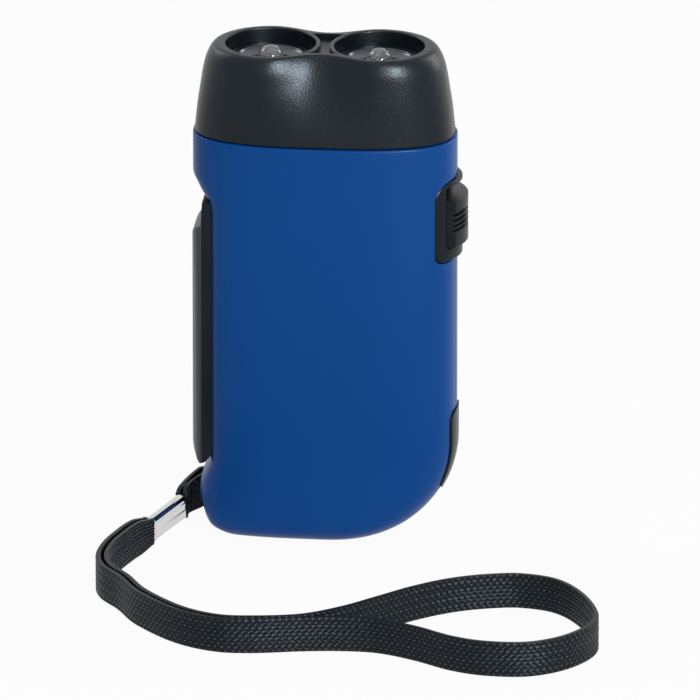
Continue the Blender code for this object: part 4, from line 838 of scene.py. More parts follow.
    def cutters(self, switch: "SlideSwitch", plug: "SocketPlug") -> list[Piece]:
        """Everything taken out of both shells.

        Args:
            switch: The switch, for its pocket.
            plug: The socket plug, for its pocket.

        Returns:
            The solids to cut with.
        """
        side = self.half_width + OVERRUN
        slot = block("lever slot", (-side, -self.slot_half, self.slot_z[0]),
                     (self.slot_inner_x, self.slot_half, self.slot_z[1]))
        soften(slot, self.slot_round, segments=6)
        pocket = prism("bezel pocket", rounded_loop(switch.half_depth + GAP, switch.low_z - GAP,
                                                    switch.high_z + GAP, switch.corner + GAP,
                                                    switch.low_corner + GAP),
                       switch.inner_x - GAP, side, place_x)
        strap = block("strap slot", (-side, self.parting_y, self.strap_z[0]),
                      (self.strap_inner_x, self.strap_back_y, self.strap_z[1]))
        bore = self.neck_bar("neck bore", self.cavity_top - GAP, self.neck[2] + OVERRUN, self.neck_wall, 64)
        tools = [self.hollow(), slot, pocket, plug.region(self, "plug pocket", GAP, -plug.depth - GAP), strap,
                 bore]
        for number, (x, z) in enumerate(self.screws):
            tools.append(round_bar(f"counterbore {number}", (x, self.screw_seat_y, z),
                                   (x, self.half_depth + OVERRUN, z), self.counterbore_radius))
        return tools

    def build(self, finishes: Finishes, switch: "SlideSwitch", plug: "SocketPlug") -> None:
        """Build and dress the front and rear shells.

        Args:
            finishes: The finishes.
            switch: The switch, for its pocket.
            plug: The socket plug, for its pocket.
        """
        reach = self.half_width + OVERRUN
        top = self.neck[2] + OVERRUN
        whole = self.form("housing")
        carve(whole, [self.neck_bar("neck", self.cavity_top, self.neck[2], 0.0, 96)], "UNION")
        carve(whole, self.cutters(switch, plug))
        rear = whole.copy()
        rear.data = whole.data.copy()
        bpy.context.scene.collection.objects.link(rear)
        halves = ((whole, "front_shell", (-reach, self.parting_y - GAP / 2), (reach, reach)),
                  (rear, "rear_shell", (-reach, -reach), (reach, self.parting_y + GAP / 2)))
        for shell, node, low, high in halves:
            carve(shell, [block("other half", (*low, -OVERRUN), (*high, top))])
            shell.name = node + "_moulding"
            dress(shell, finishes.blue, Body.HOUSING, node)


def place_x(first: float, second: float, level: float) -> Point:
    """Place an outline in Y and Z at a level along X."""
    return level, first, second


def place_y(first: float, second: float, level: float) -> Point:
    """Place an outline in X and Z at a level along Y."""
    return first, level, second


def rounded_loop(half: float, low: float, high: float, corner: float, low_corner: float | None = None,
                 corner_steps: int = 8, side_steps: int = 12) -> list[Flat]:
    """A rectangle with round corners, with the same number of points whatever its size.

    Args:
        half: Half width.
        low: Lower edge.
        high: Upper edge.
        corner: Corner radius.
        low_corner: Radius of the two lower corners, if it differs.
        corner_steps: Steps in each corner.
        side_steps: Steps along each side.

    Returns:
        Points of the loop.
    """
    loop: list[Flat] = []
    under = corner if low_corner is None else low_corner
    corners = ((half - corner, high - corner, corner), (-half + corner, high - corner, corner),
               (-half + under, low + under, under), (half - under, low + under, under))
    for number, (across, up, radius) in enumerate(corners):
        turn = (number + 1) * QUARTER
        loop += arc((across, up), radius, number * QUARTER, turn, corner_steps)
        next_across, next_up, next_radius = corners[(number + 1) % 4]
        start = loop[-1]
        end = (next_across + next_radius * math.cos(turn), next_up + next_radius * math.sin(turn))
        loop += list(zip(spaced(start[0], end[0], side_steps), spaced(start[1], end[1], side_steps)))[1:]
    return loop


# Head


@dataclass
class Head:
    """The black head with its cups, dishes and bulbs.

    Attributes:
        width_rows: Shares of the head's height with the section's share of the half width.
        depth_rows: The same for the half depth.
        waist_share: Depth of the peanut's waist as a share of its lobes'.
        peanut_power: How late the section turns into a peanut; more is nearer the top.
        dish_curve: How hollow the dish is; one is a straight cone.
        recess_half: Half width and half depth of the recess between the cups.
    """

    seam_z: float = 0.0825
    top_z: float = 0.1003
    half_width: float = 0.026
    half_depth: float = 0.01265
    top_half_width: float = 0.0216
    cup_x: float = 0.0107
    cup_radius: float = 0.0089
    rim_outer: float = 0.0098
    rim_round: float = 0.0003
    ledge_z: float = 0.0959
    bore_radius: float = 0.0076
    cavity_top: float = 0.0938
    recess_depth: float = 0.001
    recess_half: Flat = (0.0055, 0.0060)
    edge_round: float = 0.00035
    waist_share: float = 0.686
    peanut_power: float = 1.5
    wall: float = 0.0018
    reflector_rim_z: float = 0.0974
    dish_depth: float = 0.001
    dish_floor: float = 0.0011
    dish_hole: float = 0.0029
    dish_curve: float = 1.7
    collar: float = 0.0006
    lip_radius: float = 0.0068
    lip: float = 0.00022
    led_radius: float = 0.0025
    led_top_z: float = 0.0997
    flange: float = 0.001
    width_rows: tuple[Flat, ...] = ((0.0, 0.985), (0.16, 0.974), (0.31, 0.963), (0.5, 0.944), (0.70, 0.923),
                                    (0.82, 0.904), (0.927, 0.873), (0.975, 0.849), (1.0, 0.826))
    depth_rows: tuple[Flat, ...] = ((0.0, 1.0), (0.16, 0.996), (0.31, 0.988), (0.5, 0.972), (0.70, 0.941),
                                    (0.82, 0.917), (0.927, 0.870), (0.975, 0.832), (1.0, 0.804))
    points: int = 192

    def ring(self, share: float, width: float, depth: float, z: float) -> list[Point]:
        """A section that turns from a rounded box into a peanut toward the top.

        Args:
            share: Share of the head's height.
            width: Half width.
            depth: Half depth.
            z: Height.

        Returns:
            The ring.
        """
        power = 2 / CORNER_SHARPNESS
        blend = max(share, 0.0) ** self.peanut_power
        lobe = self.top_half_width - self.cup_x
        ring = []
        for step in range(self.points):
            turn = 2 * math.pi * (step + 0.5) / self.points
            x, y = (math.copysign(abs(value) ** power, value) for value in (math.cos(turn), math.sin(turn)))
            at = abs(x) * self.top_half_width
            if at >= self.cup_x:
                peanut = math.sqrt(max(1 - ((at - self.cup_x) / lobe) ** 2, 0.0))
            else:
                rise = 0.5 - 0.5 * math.cos(math.pi * at / self.cup_x)
                peanut = self.waist_share + (1 - self.waist_share) * rise
            reach = (1 - blend) * abs(y) + blend * peanut
            ring.append((x * width, math.copysign(reach * depth, y), z))
        return ring

    def rings(self, heights: Sequence[float], insets: Sequence[float]) -> list[list[Point]]:
        """Sections at some heights, each drawn in by its inset.

        Args:
            heights: Rising heights.
            insets: How far each section is drawn in.

        Returns:
            The rings.
        """
        width, depth = smooth_table(self.width_rows), smooth_table(self.depth_rows)
        rows = []
        for z, inset in zip(heights, insets):
            share = (z - self.seam_z) / (self.top_z - self.seam_z)
            rows.append(self.ring(share, self.half_width * width(share) - inset,
                                  self.half_depth * depth(share) - inset, z))
        return rows

    def cover(self) -> Piece:
        """The head cover with rounded edges, cut for its cups.

        Returns:
            The cover.
        """
        low, high = self.seam_z + GAP, self.top_z - self.edge_round
        lower = [(low + rise, inset) for rise, inset in round_over(GAP, 4)[:-1]]
        middle = [(z, 0.0) for z in [*spaced(low + GAP, high, 60), high]]
        upper = [(self.top_z - drop, inset) for inset, drop in round_over(self.edge_round, 6)[1:]]
        cover = bridge_rings("head_cover_moulding", self.rings(*zip(*lower, *middle, *upper)))
        inner = [*spaced(self.seam_z - GAP, self.cavity_top, 6), self.cavity_top]
        cavity = bridge_rings("head cavity", self.rings(inner, [self.wall] * len(inner)))
        across, back = self.recess_half
        recess = block("cup recess", (-across, -back, self.top_z - self.recess_depth),
                       (across, back, self.top_z + OVERRUN))
        bores, rims = [cavity, recess], []
        for side in (-1, 1):
            x = side * self.cup_x
            for tools, word, low, high, radius in (
                    (rims, "ring", self.top_z - OVERRUN, self.top_z + 2 * OVERRUN,
                     (self.rim_outer + self.cup_radius) / 2),
                    (bores, "bore", self.cavity_top - OVERRUN, self.top_z, self.bore_radius),
                    (bores, "cup", self.ledge_z, self.top_z + OVERRUN, self.cup_radius + self.rim_round)):
                tools.append(round_bar(f"{word} {side}", (x, 0.0, low), (x, 0.0, high), radius, 96))
        carve(recess, rims)
        return carve(cover, bores)

    def turned_pair(self, side: int, name: str, profile: Sequence[Flat], steps: int,
                    aside: float = 0.0) -> Piece:
        """A turned piece over one cup, with its side in its name.

        Args:
            side: Minus one for the left cup, one for the right.
            name: Name of the piece, with a pair of braces for the side.
            profile: Radii and heights.
            steps: Segments round the axis.
            aside: How far the axis is moved along X.

        Returns:
            The piece.
        """
        return turned(name.format("left" if side < 0 else "right"), profile,
                      (side * self.cup_x + aside, 0.0), steps)

    def rim(self, side: int) -> Piece:
        """The rounded lip round one cup.

        Args:
            side: Minus one for the left cup, one for the right.

        Returns:
            The lip.
        """
        top, low, soft = self.top_z, self.ledge_z, self.rim_round
        profile = [(self.cup_radius, low), (self.cup_radius, top - soft),
                   *arc((self.cup_radius + soft, top - soft), soft, math.pi, QUARTER, 5)[1:],
                   *arc((self.rim_outer - soft, top - soft), soft, QUARTER, 0.0, 5)[1:],
                   (self.rim_outer, top - self.recess_depth * 1.6), (self.cup_radius + soft * 2, low)]
        return self.turned_pair(side, "cup_rim_{}", profile, 160)

    def reflector(self, side: int) -> Piece:
        """A shallow dish with a rolled rim, a raised ring and a collar round the bulb.

        Args:
            side: Minus one for the left cup, one for the right.

        Returns:
            The dish.
        """
        rim, floor = self.reflector_rim_z, self.reflector_rim_z - self.dish_depth
        outer, skirt = self.cup_radius - GAP / 2, self.bore_radius - GAP
        seat, under = self.ledge_z + GAP, floor - self.dish_floor
        hole, slope = self.dish_hole, self.lip_radius - self.lip
        profile = [(outer, seat), (outer, rim - GAP),
                   *arc((outer - GAP, rim - GAP), GAP, 0.0, QUARTER, 4)[1:],
                   *arc((self.lip_radius, rim - 0.4 * self.lip), self.lip, 0.0, math.pi, 6)]
        for share in spaced(0.0, 1.0, 15)[1:]:
            profile.append((slope + (hole + self.collar - slope) * share,
                            floor + (rim - self.lip - floor) * (1 - share) ** self.dish_curve))
        profile += [(hole + out, floor + up) for out, up in
                    ((0.0005, 0.0), (0.0004, 0.00025), (0.0001, 0.0003), (0.0, 0.0002))]
        profile += [(hole, under), (skirt, under), (skirt, seat)]
        return self.turned_pair(side, "reflector_{}_dish", profile, 128)

    def board_top(self) -> float:
        """Height of the top of the lamp board."""
        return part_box("led_board")[1][2]

    def bulb(self, side: int) -> Piece:
        """A clear round-topped bulb with its flange.

        Args:
            side: Minus one for the left cup, one for the right.

        Returns:
            The bulb.
        """
        base = self.board_top() + GAP
        flange = base + self.flange
        dome = arc((0.0, self.led_top_z - self.led_radius), self.led_radius, QUARTER, 0.0, 16)[1:]
        profile = [(0.0, self.led_top_z), *dome, (self.led_radius, flange + 0.0001), (self.dish_hole, flange),
                   (self.dish_hole, base), (0.0, base)]
        return self.turned_pair(side, "led_{}_bulb", profile, 64)

    def die(self, side: int) -> Piece:
        """The lead frame and reflector cup inside a bulb, which show through it.

        Args:
            side: Minus one for the left cup, one for the right.

        Returns:
            The lead frame.
        """
        low = self.board_top() + 0.0012
        top = self.led_top_z - self.led_radius * 1.5
        cup = [(radius, top + up) for radius, up in
               ((0.0, -0.0003), (0.0005, -0.0002), (0.0009, 0.0), (0.0011, 0.0), (0.001, -0.0009),
                (0.0006, -0.0012))]
        return self.turned_pair(side, "led_{}_frame", [*cup, (0.0006, low), (0.0, low)], 24, -0.0003)

    def build(self, finishes: Finishes) -> None:
        """Build and dress the head and its lamps.

        Args:
            finishes: The finishes.
        """
        dress(self.cover(), finishes.grained, Body.HOUSING, "head_cover")
        for side, word in ((-1, "left"), (1, "right")):
            dress(self.rim(side), finishes.grained, Body.HOUSING, "head_cover")
            dress(self.reflector(side), finishes.dish, Body.HOUSING, f"reflector_{word}")
            dress(self.bulb(side), finishes.epoxy, Body.HOUSING, f"led_{word}")
            dress(self.die(side), finishes.chrome, Body.HOUSING, f"led_{word}")


# Lever


@dataclass
class PressLever:
    """The black squeeze lever: channel, toothed sector, stop lug and spring stud.

    Attributes:
        knee: Side view of the lower end, in web thicknesses from its outer lower corner.
        brow: Side view of the upper end, in web thicknesses from the top of the grip.
        ear: First and last angle of the round ear about the pin.
        sector_x: Where the toothed sector starts, behind the channel.
        sector_room: Far corner of the box that holds the sector, as deep on either side.
    """

    pivot: Flat = (-0.017, 0.020)
    outer_x: float = -0.0261
    web: float = 0.0018
    half_depth: float = 0.0073
    side_wall: float = 0.0015
    side_x: float = -0.0205
    block_x: float = -0.0182
    grip_top: float = 0.0604
    tip_z: float = 0.0690
    tip_x: float = -0.0236
    low_z: float = 0.0145
    boss: float = 0.0032
    edge: float = 0.00035
    sector_x: float = -0.0203
    sector_room: Point = (0.010, 0.012, 0.090)
    round_angle: float = math.radians(50)
    knee: tuple[Flat, ...] = ((1.0, 0.0), (0.7, 0.35), (0.45, 1.0), (0.24, 1.5), (0.1, 2.0), (0.02, 2.6),
                              (0.0, 3.1))
    brow: tuple[Flat, ...] = ((0.0, 0.0), (0.05, 0.5), (0.2, 1.0), (0.4, 1.35), (0.65, 1.6), (1.0, 1.85))
    ear: Flat = (math.pi / 3, -math.pi / 1.6)

    def outline(self) -> list[Flat]:
        """Side view with curved ends.

        Returns:
            Points in X and Z.
        """
        web = self.web
        foot = [(self.side_x - web * 0.75, self.low_z + web * 1.1),
                (self.side_x - web * 1.4, self.low_z + web * 0.3)]
        knee = [(self.outer_x + web * across, self.low_z + web * up) for across, up in self.knee]
        brow = [(self.outer_x + web * across, self.grip_top + web * up) for across, up in self.brow]
        inner = [(self.tip_x - GAP, self.grip_top + web * 2.05), (self.tip_x, self.tip_z),
                 (self.tip_x + web, self.tip_z), (self.tip_x + web, self.tip_z - web * 1.5),
                 (self.block_x, self.tip_z - web * 2), (self.block_x, self.grip_top + web),
                 (self.side_x, self.grip_top), (self.side_x, self.pivot[1] + self.boss * 2)]
        return foot + knee + brow + inner + arc(self.pivot, self.boss, *self.ear, 24)

    def build(self, finishes: Finishes, housing: Housing) -> None:
        """Build and dress the lever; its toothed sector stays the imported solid's shape.

        Args:
            finishes: The finishes.
            housing: The shells.
        """
        lever = prism("press_lever_moulding", self.outline(), -self.half_depth, self.half_depth, place_y)
        crown = bridge_rings("crown", [housing.ring(z, -self.outer_x, -self.outer_x, housing.half_depth,
                                                    housing.points) for z in (0.0, housing.seam_z)])
        carve(lever, [crown], "INTERSECT")
        inner = self.half_depth - self.side_wall
        channel = block("channel", (self.outer_x + self.web, -inner, -OVERRUN),
                        (0.0, inner, self.grip_top + self.web))
        carve(lever, [channel])
        soften(lever, self.edge, self.round_angle)
        dress(lever, finishes.satin, Body.LEVER, "press_lever")
        sector = cad_copy("press_lever", "lever_sector")
        keep = block("sector side", (self.sector_x, -self.sector_room[1], 0.0), self.sector_room)
        carve(sector, [keep], "INTERSECT")
        dress(sector, finishes.satin, Body.LEVER, "press_lever")


def cad_copy(node: str, name: str) -> Piece:
    """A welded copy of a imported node's mesh.

    Args:
        node: The node that is copied.
        name: Name of the object.

    Returns:
        The copy, free to be cut.
    """
    shape = bmesh.new()
    shape.from_mesh(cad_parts[node].data)
    bmesh.ops.remove_doubles(shape, verts=shape.verts, dist=0.000001)
    return finish_mesh(shape, name, turn_out=False)


# Switch and plug


@dataclass
class SlideSwitch:
    """The bezel and the ribbed knob on the right side.

    Attributes:
        crown_x: Outermost X of the bezel's crown, which falls off over crown_half.
        knob_crown: Outermost X of the knob, which drops by knob_drop at its sides.
        groove_flank: Distance over which a groove runs out, in half groove widths.
        edge_steps: Shares of the rounded rim at which the knob's skin has points.
        skin_steps: Even points of the skin across and along the knob.
    """

    low_z: float = 0.058
    high_z: float = 0.0742
    half_depth: float = 0.0081
    corner: float = 0.003
    low_corner: float = 0.0014
    edge: float = 0.0004
    inner_x: float = 0.0225
    crown_x: float = 0.0271
    crown_half: float = 0.015
    knob_low: float = 0.0609
    knob_high: float = 0.0704
    knob_half: float = 0.006
    knob_crown: float = 0.0282
    knob_drop: float = 0.0020
    knob_inner: float = 0.0229
    knob_edge: float = 0.00016
    travel: float = 0.0025
    groove_first: float = 0.0645
    groove_pitch: float = 0.00106
    groove_count: int = 4
    groove_width: float = 0.00066
    groove_depth: float = 0.0008
    groove_flank: float = 0.3
    edge_steps: tuple[float, ...] = (0.0, 0.04, 0.12, 0.25, 0.45, 0.7, 1.0)
    skin_steps: tuple[int, int] = (26, 116)
    stem_half: float = 0.001
    stem_reach: float = 0.0033

    def crown(self, y: float) -> float:
        """Outer surface of the bezel across its depth."""
        return self.crown_x * math.sqrt(max(1 - (y / self.crown_half) ** 2, 0.0))

    def bezel(self) -> Piece:
        """A crowned frame whose outer and inner edges are rounded.

        Returns:
            The bezel.
        """
        window_low, window_high = self.knob_low - GAP, self.knob_high + self.travel + GAP
        window_half = self.knob_half + GAP

        def outer(inset: float, drop: float) -> list[Point]:
            """Loop inside the outer edge.

            Args:
                inset: How far the surface is drawn in.
                drop: How far the loop lies below the crown.

            Returns:
                The loop.
            """
            loop = rounded_loop(self.half_depth - inset, self.low_z + inset, self.high_z - inset,
                                self.corner - inset, self.low_corner - inset)
            return [(self.crown(y) - drop, y, z) for y, z in loop]

        def window(grow: float, drop: float) -> list[Point]:
            """Loop round the window."""
            loop = rounded_loop(window_half + grow, window_low - grow, window_high + grow, GAP * 2 + grow)
            return [(self.crown(y) - drop, y, z) for y, z in loop]

        loops = [outer(*step) for step in round_over(self.edge, 5)]
        loops += [window(*step) for step in reversed(round_over(self.edge * 0.7, 5))]
        loops.insert(0, [(self.inner_x, y, z) for _, y, z in outer(0.0, 0.0)])
        loops.append([(self.inner_x, y, z) for _, y, z in window(0.0, 0.0)])
        return bridge_rings("switch_bezel_moulding", loops, looped=True)

    def knob_height(self, y: float, z: float) -> float:
        """Outer surface of the knob with its grip grooves and rounded rim.

        Args:
            y: Place across the knob.
            z: Height.

        Returns:
            X of the surface.
        """
        x = self.knob_crown - self.knob_drop * (y / self.knob_half) ** 2
        for number in range(self.groove_count):
            away = abs(z - self.groove_first - number * self.groove_pitch) / (self.groove_width / 2)
            if away < 1 + self.groove_flank:
                x -= self.groove_depth * min(1.0, (1 + self.groove_flank - away) / 0.5)
        rim = min(self.knob_half - abs(y), z - self.knob_low, self.knob_high - z)
        if rim < self.knob_edge:
            x -= self.knob_edge - math.sqrt(max(self.knob_edge ** 2 - (self.knob_edge - rim) ** 2, 0.0))
        return x

    def knob_places(self, low: float, high: float, count: int) -> list[float]:
        """Places across the knob, closest at its rounded rim.

        Args:
            low: First edge.
            high: Last edge.
            count: Even places between the rims.

        Returns:
            Rising places.
        """
        ends = [self.knob_edge * step for step in self.edge_steps]
        middle = np.linspace(low + self.knob_edge, high - self.knob_edge, count)[1:-1]
        return [*(low + step for step in ends), *middle, *(high - step for step in reversed(ends))]

    def knob(self) -> Piece:
        """The knob: a fine skin over a skirt.

        Returns:
            The knob.
        """
        shape = bmesh.new()
        ys = self.knob_places(-self.knob_half, self.knob_half, self.skin_steps[0])
        zs = self.knob_places(self.knob_low, self.knob_high, self.skin_steps[1])
        skin = [[shape.verts.new((self.knob_height(y, z), y, z)) for y in ys] for z in zs]
        for lower, upper in zip(skin, skin[1:]):
            for step in range(len(ys) - 1):
                shape.faces.new((lower[step], lower[step + 1], upper[step + 1], upper[step]))
        border = (skin[0] + [row[-1] for row in skin[1:]] + skin[-1][-2::-1]
                  + [row[0] for row in skin[-2:0:-1]])
        foot = [shape.verts.new((self.knob_inner, vert.co.y, vert.co.z)) for vert in border]
        for step in range(len(border)):
            following = (step + 1) % len(border)
            shape.faces.new((border[step], foot[step], foot[following], border[following]))
        shape.faces.new(foot)
        return finish_mesh(shape, "switch_knob_moulding")

    def build(self, finishes: Finishes) -> None:
        """Build and dress the bezel, the knob and its stem.

        Args:
            finishes: The finishes.
        """
        dress(self.bezel(), finishes.satin, Body.HOUSING, "switch_bezel")
        dress(self.knob(), finishes.satin, Body.SWITCH, "switch_knob")
        middle, half = (self.knob_low + self.knob_high) / 2, self.stem_half
        stem = block("switch_stem", (self.knob_inner - self.stem_reach, -half, middle - half),
                     (self.knob_inner + half, half, middle + half))
        dress(stem, finishes.satin, Body.SWITCH, "switch_knob")


@dataclass
class SocketPlug:
    """The curved cover low on the right side."""

    low_z: float = 0.010
    high_z: float = 0.026
    half_depth: float = 0.005
    proud: float = 0.00035
    depth: float = 0.0009
    inner_x: float = 0.012
    corner: float = 0.002

    def region(self, housing: Housing, name: str, spare: float, skin: float) -> Piece:
        """The patch of wall that the plug fills, down to an inner skin.

        Args:
            housing: The shells.
            name: Name of the solid.
            spare: How much larger the patch is on each side.
            skin: How far the inner skin is grown; negative is inwards.

        Returns:
            The patch as a solid.
        """
        loop = rounded_loop(self.half_depth + spare, self.low_z - spare, self.high_z + spare,
                            self.corner + spare)
        patch = prism(name, loop, self.inner_x, housing.half_width + OVERRUN, place_x)
        return carve(patch, [housing.form("inner skin", skin)])

    def build(self, finishes: Finishes, housing: Housing) -> None:
        """Build and dress the plug.

        Args:
            finishes: The finishes.
            housing: The shells.
        """
        plug = self.region(housing, "port_cover_moulding", 0.0, -self.depth)
        carve(plug, [housing.form("outer skin", self.proud)], "INTERSECT")
        dress(plug, finishes.satin, Body.HOUSING, "port_cover")


# Strap


def smooth_route(knots: Sequence[Vector], step: float, before: Vector | None = None,
                 after: Vector | None = None) -> list[Vector]:
    """Places along a smooth curve through the knots, about one step apart.

    Args:
        knots: Knots of the curve.
        step: Spacing of the places.
        before: Where the curve comes from, if it carries on from another one.
        after: Where it carries on to.

    Returns:
        The places, with both ends.
    """
    padded = [before or 2 * knots[0] - knots[1], *knots, after or 2 * knots[-1] - knots[-2]]
    route = []
    for first, start, end, last in zip(padded, padded[1:], padded[2:], padded[3:]):
        count = max(1, round((end - start).length / step))
        for number in range(count):
            t = number / count
            route.append(0.5 * (2 * start + (end - first) * t
                                + (2 * first - 5 * start + 4 * end - last) * t ** 2
                                + (3 * start - 3 * end + last - first) * t ** 3))
    return route + [knots[-1]]


def run_length(route: Sequence[Vector]) -> float:
    """Length along a route."""
    return sum((after - before).length for before, after in zip(route, route[1:]))


@dataclass
class WristStrap:
    """Woven strap: tab round its pin, crimp, doubled lead and open loop.

    Attributes:
        column: Width of one rib of the weave.
        thread_pitch: Spacing of the threads along the strap.
        lean: How far a thread moves on across its rib, in thread spacings.
        gather: Share by which the band's width is drawn in at the crimp.
        gather_reach: Distance over which it widens again.
        flat_share: Share of the band's half width that is its flat face; the rest is the selvedge.
        anchor: Middle of the pin that the tab is hung on.
        tab_level_share: Share of the tab that runs level before it drops to the floor.
        crimp_hollow: Share by which the crimp is narrower in its middle.
        crimp_lip: Share of the crimp's radius that its rounded ends start from.
        tube_waist: Share of the crimp's width that is left between its two tubes.
        spacing: Distance between the places along the band; tab_spacing is the tab's.
    """

    width: float = 0.007
    thickness: float = 0.0012
    ply_pitch: float = 0.0016
    floor_gap: float = 0.0002
    column: float = 0.00078
    thread_pitch: float = 0.0013
    lean: float = 0.55
    relief: float = 0.00026
    gather: float = 0.24
    gather_reach: float = 0.003
    flat_share: float = 0.985
    face_steps: int = 36
    anchor: Flat = (-0.021, 0.0032)
    pin_radius: float = 0.0011
    tab_middle_z: float = 0.0067
    tab_level_share: float = 0.4
    crimp_radius: float = 0.00145
    tube_pitch: float = 0.0024
    tube_waist: float = 0.74
    crimp_hollow: float = 0.05
    crimp_lip: float = 0.86
    crimp_start: Flat = (-0.0284, -0.0022)
    crimp_end: Flat = (-0.0332, -0.0166)
    spacing: float = 0.0003
    tab_spacing: float = 0.0004
    lead_route: tuple[Flat, ...] = (
        (-0.0356, -0.0214), (-0.0372, -0.0256), (-0.0393, -0.033), (-0.0399, -0.040), (-0.0385, -0.046),
        (-0.0345, -0.0520), (-0.0301, -0.0601), (-0.0221, -0.0689), (-0.0145, -0.0730), (-0.0074, -0.0733),
        (0.0022, -0.0714))
    loop_route: tuple[Flat, ...] = (
        (0.010, -0.0713), (0.0173, -0.0718), (0.0248, -0.0752), (0.0324, -0.0801), (0.0397, -0.0823),
        (0.0482, -0.0816), (0.0554, -0.0760), (0.0592, -0.0670), (0.0564, -0.0558), (0.0505, -0.0468),
        (0.0431, -0.0438), (0.0361, -0.0448), (0.0293, -0.0477), (0.0226, -0.0527), (0.0161, -0.0592),
        (0.0096, -0.0656))

    def floor_z(self) -> float:
        """Height of the middle of the strap where it stands on edge on the floor."""
        return self.floor_gap + self.width / 2

    def weave(self, along: float, across: float) -> float:
        """Height of the woven surface, from 0 between threads to 1 on a crown.

        Args:
            along: Place along the band.
            across: Place across the band.

        Returns:
            The height.
        """
        column = math.floor(across / self.column)
        local = across / self.column - column
        way = 1 if column % 2 else -1
        phase = along / self.thread_pitch + way * local * self.lean
        crown = 0.5 + 0.5 * math.cos(2 * math.pi * phase)
        return crown ** 0.6 * math.sin(math.pi * local) ** 0.5

    def section(self) -> list[tuple[float, float, bool]]:
        """Points round the band as (across, up, flat), where flat points lie on a woven face.

        Returns:
            The points in order.
        """
        half_width, half_thick = self.width / 2, self.thickness / 2
        section = []
        for side in (1, -1):
            for step in range(self.face_steps + 1):
                up = half_width * side * (1 - 2 * step / self.face_steps) * self.flat_share
                section.append((side * half_thick, up, True))
            for step in range(1, 6):
                bulge = (1 - self.flat_share) * math.sin(math.pi * step / 6) ** 0.6
                section.append((side * half_thick * (1 - step / 3),
                                -half_width * side * (self.flat_share + bulge), False))
        return section

    def ribbon(self, name: str, route: Sequence[Vector], travelled: float = 0.0,
               gathered: tuple[bool, bool] = (False, False)) -> Piece:
        """A woven band on edge, with real thread relief, a UV map and a weave attribute.

        Args:
            name: Name of the object.
            route: Middles of the band, closely spaced.
            travelled: Length of band before this one, so that the weave carries on.
            gathered: Whether the start and the end are drawn in to fit the crimp.

        Returns:
            The band.
        """
        section = self.section()
        shape = bmesh.new()
        weave_layer = shape.verts.layers.float.new(WEAVE_ATTRIBUTE)
        uv_layer = shape.loops.layers.uv.new(WEAVE_MAP)
        rows, distances = [], []
        begin, finish = travelled, travelled + run_length(route)
        for number, place in enumerate(route):
            if number:
                travelled += (place - route[number - 1]).length
            distances.append(travelled)
            ahead = route[min(number + 1, len(route) - 1)] - route[max(number - 1, 0)]
            heading = Vector((ahead.x, ahead.y, 0.0)).normalized()
            outward = Vector((-heading.y, heading.x, 0.0))
            height = 1 - self.gather * sum(math.exp(-(run / self.gather_reach) ** 2) for run, drawn in
                                           zip((travelled - begin, finish - travelled), gathered) if drawn)
            row = []
            for across, up, flat in section:
                crown = 0.55
                if flat:
                    crown = self.weave(travelled, math.copysign(1.0, across) * up + self.width / 2)
                    across = math.copysign(abs(across) - self.relief * (1 - crown), across)
                vert = shape.verts.new(place + outward * across + Vector((0.0, 0.0, up * height)))
                vert[weave_layer] = crown
                row.append(vert)
            rows.append(row)
        for lower, upper, start, end in zip(rows, rows[1:], distances, distances[1:]):
            for step in range(len(section)):
                following = (step + 1) % len(section)
                face = shape.faces.new((lower[step], lower[following], upper[following], upper[step]))
                corners = ((start, step), (start, step + 1), (end, step + 1), (end, step))
                for loop, (run, turn) in zip(face.loops, corners):
                    loop[uv_layer].uv = (run, turn * self.width / self.face_steps)
        shape.faces.new(list(reversed(rows[0])))
        shape.faces.new(rows[-1])
        return finish_mesh(shape, name)

    def tab_route(self) -> list[Vector]:
        """Route of the tab from the crimp round the pin and back.

        Returns:
            Middles of the tab's band.
        """
        start, end = Vector(self.crimp_start), Vector(self.crimp_end)
        heading = (end - start).normalized()
        wrap = self.pin_radius + GAP + self.thickness / 2
        anchor = Vector(self.anchor)
        meet = start - heading * GAP
        outward = (meet - anchor).normalized()
        sideways = Vector((-outward.y, outward.x))
        square = Vector((-heading.y, heading.x)) * self.ply_pitch / 2
        near = meet - heading * self.thickness * 2
        around = [anchor - outward * across + sideways * along
                  for across, along in arc((0.0, 0.0), wrap, -QUARTER, QUARTER, 4)]
        flat = [meet - square, near - square, *around, near + square, meet + square]
        places = []
        for place in smooth_route(flat, self.tab_spacing):
            along = (place - anchor).dot(outward) / (meet - anchor).length
            drop = min(max((along - self.tab_level_share) / (1 - self.tab_level_share), 0.0), 1.0)
            places.append(Vector((*place, self.tab_middle_z + (self.floor_z() - self.tab_middle_z) * drop)))
        return places

    def crimp(self) -> Piece:
        """Two rolled tubes side by side, pressed from one strip, with flared ends.

        Returns:
            The crimp.
        """
        start, end = Vector(self.crimp_start), Vector(self.crimp_end)
        heading = (end - start).normalized()
        side = Vector((-heading.y, heading.x))
        rings = []
        for share in [*spaced(0.0, 1.0, 40), 1.0]:
            place = start.lerp(end, share)
            flare = 1.0 - self.crimp_hollow * max(math.sin(math.pi * share), 0.0) ** 0.5
            radius = self.crimp_radius * flare * min(1.0, self.crimp_lip + 14 * min(share, 1 - share))
            ring = []
            for turn in spaced(0.0, 2 * math.pi, 64):
                up = math.sin(turn)
                lobe = self.tube_pitch / 2 * (1 if up >= 0 else -1)
                waist = self.tube_waist + (1 - self.tube_waist) * abs(up) ** 0.5 if abs(up) < 0.4 else 1.0
                reach = side * math.cos(turn) * radius * waist
                height = self.floor_z() + lobe * min(1.0, abs(up) * 2.2) + up * radius
                ring.append((*(place + reach), height))
            rings.append(ring)
        return bridge_rings("strap_crimp_shell", rings)

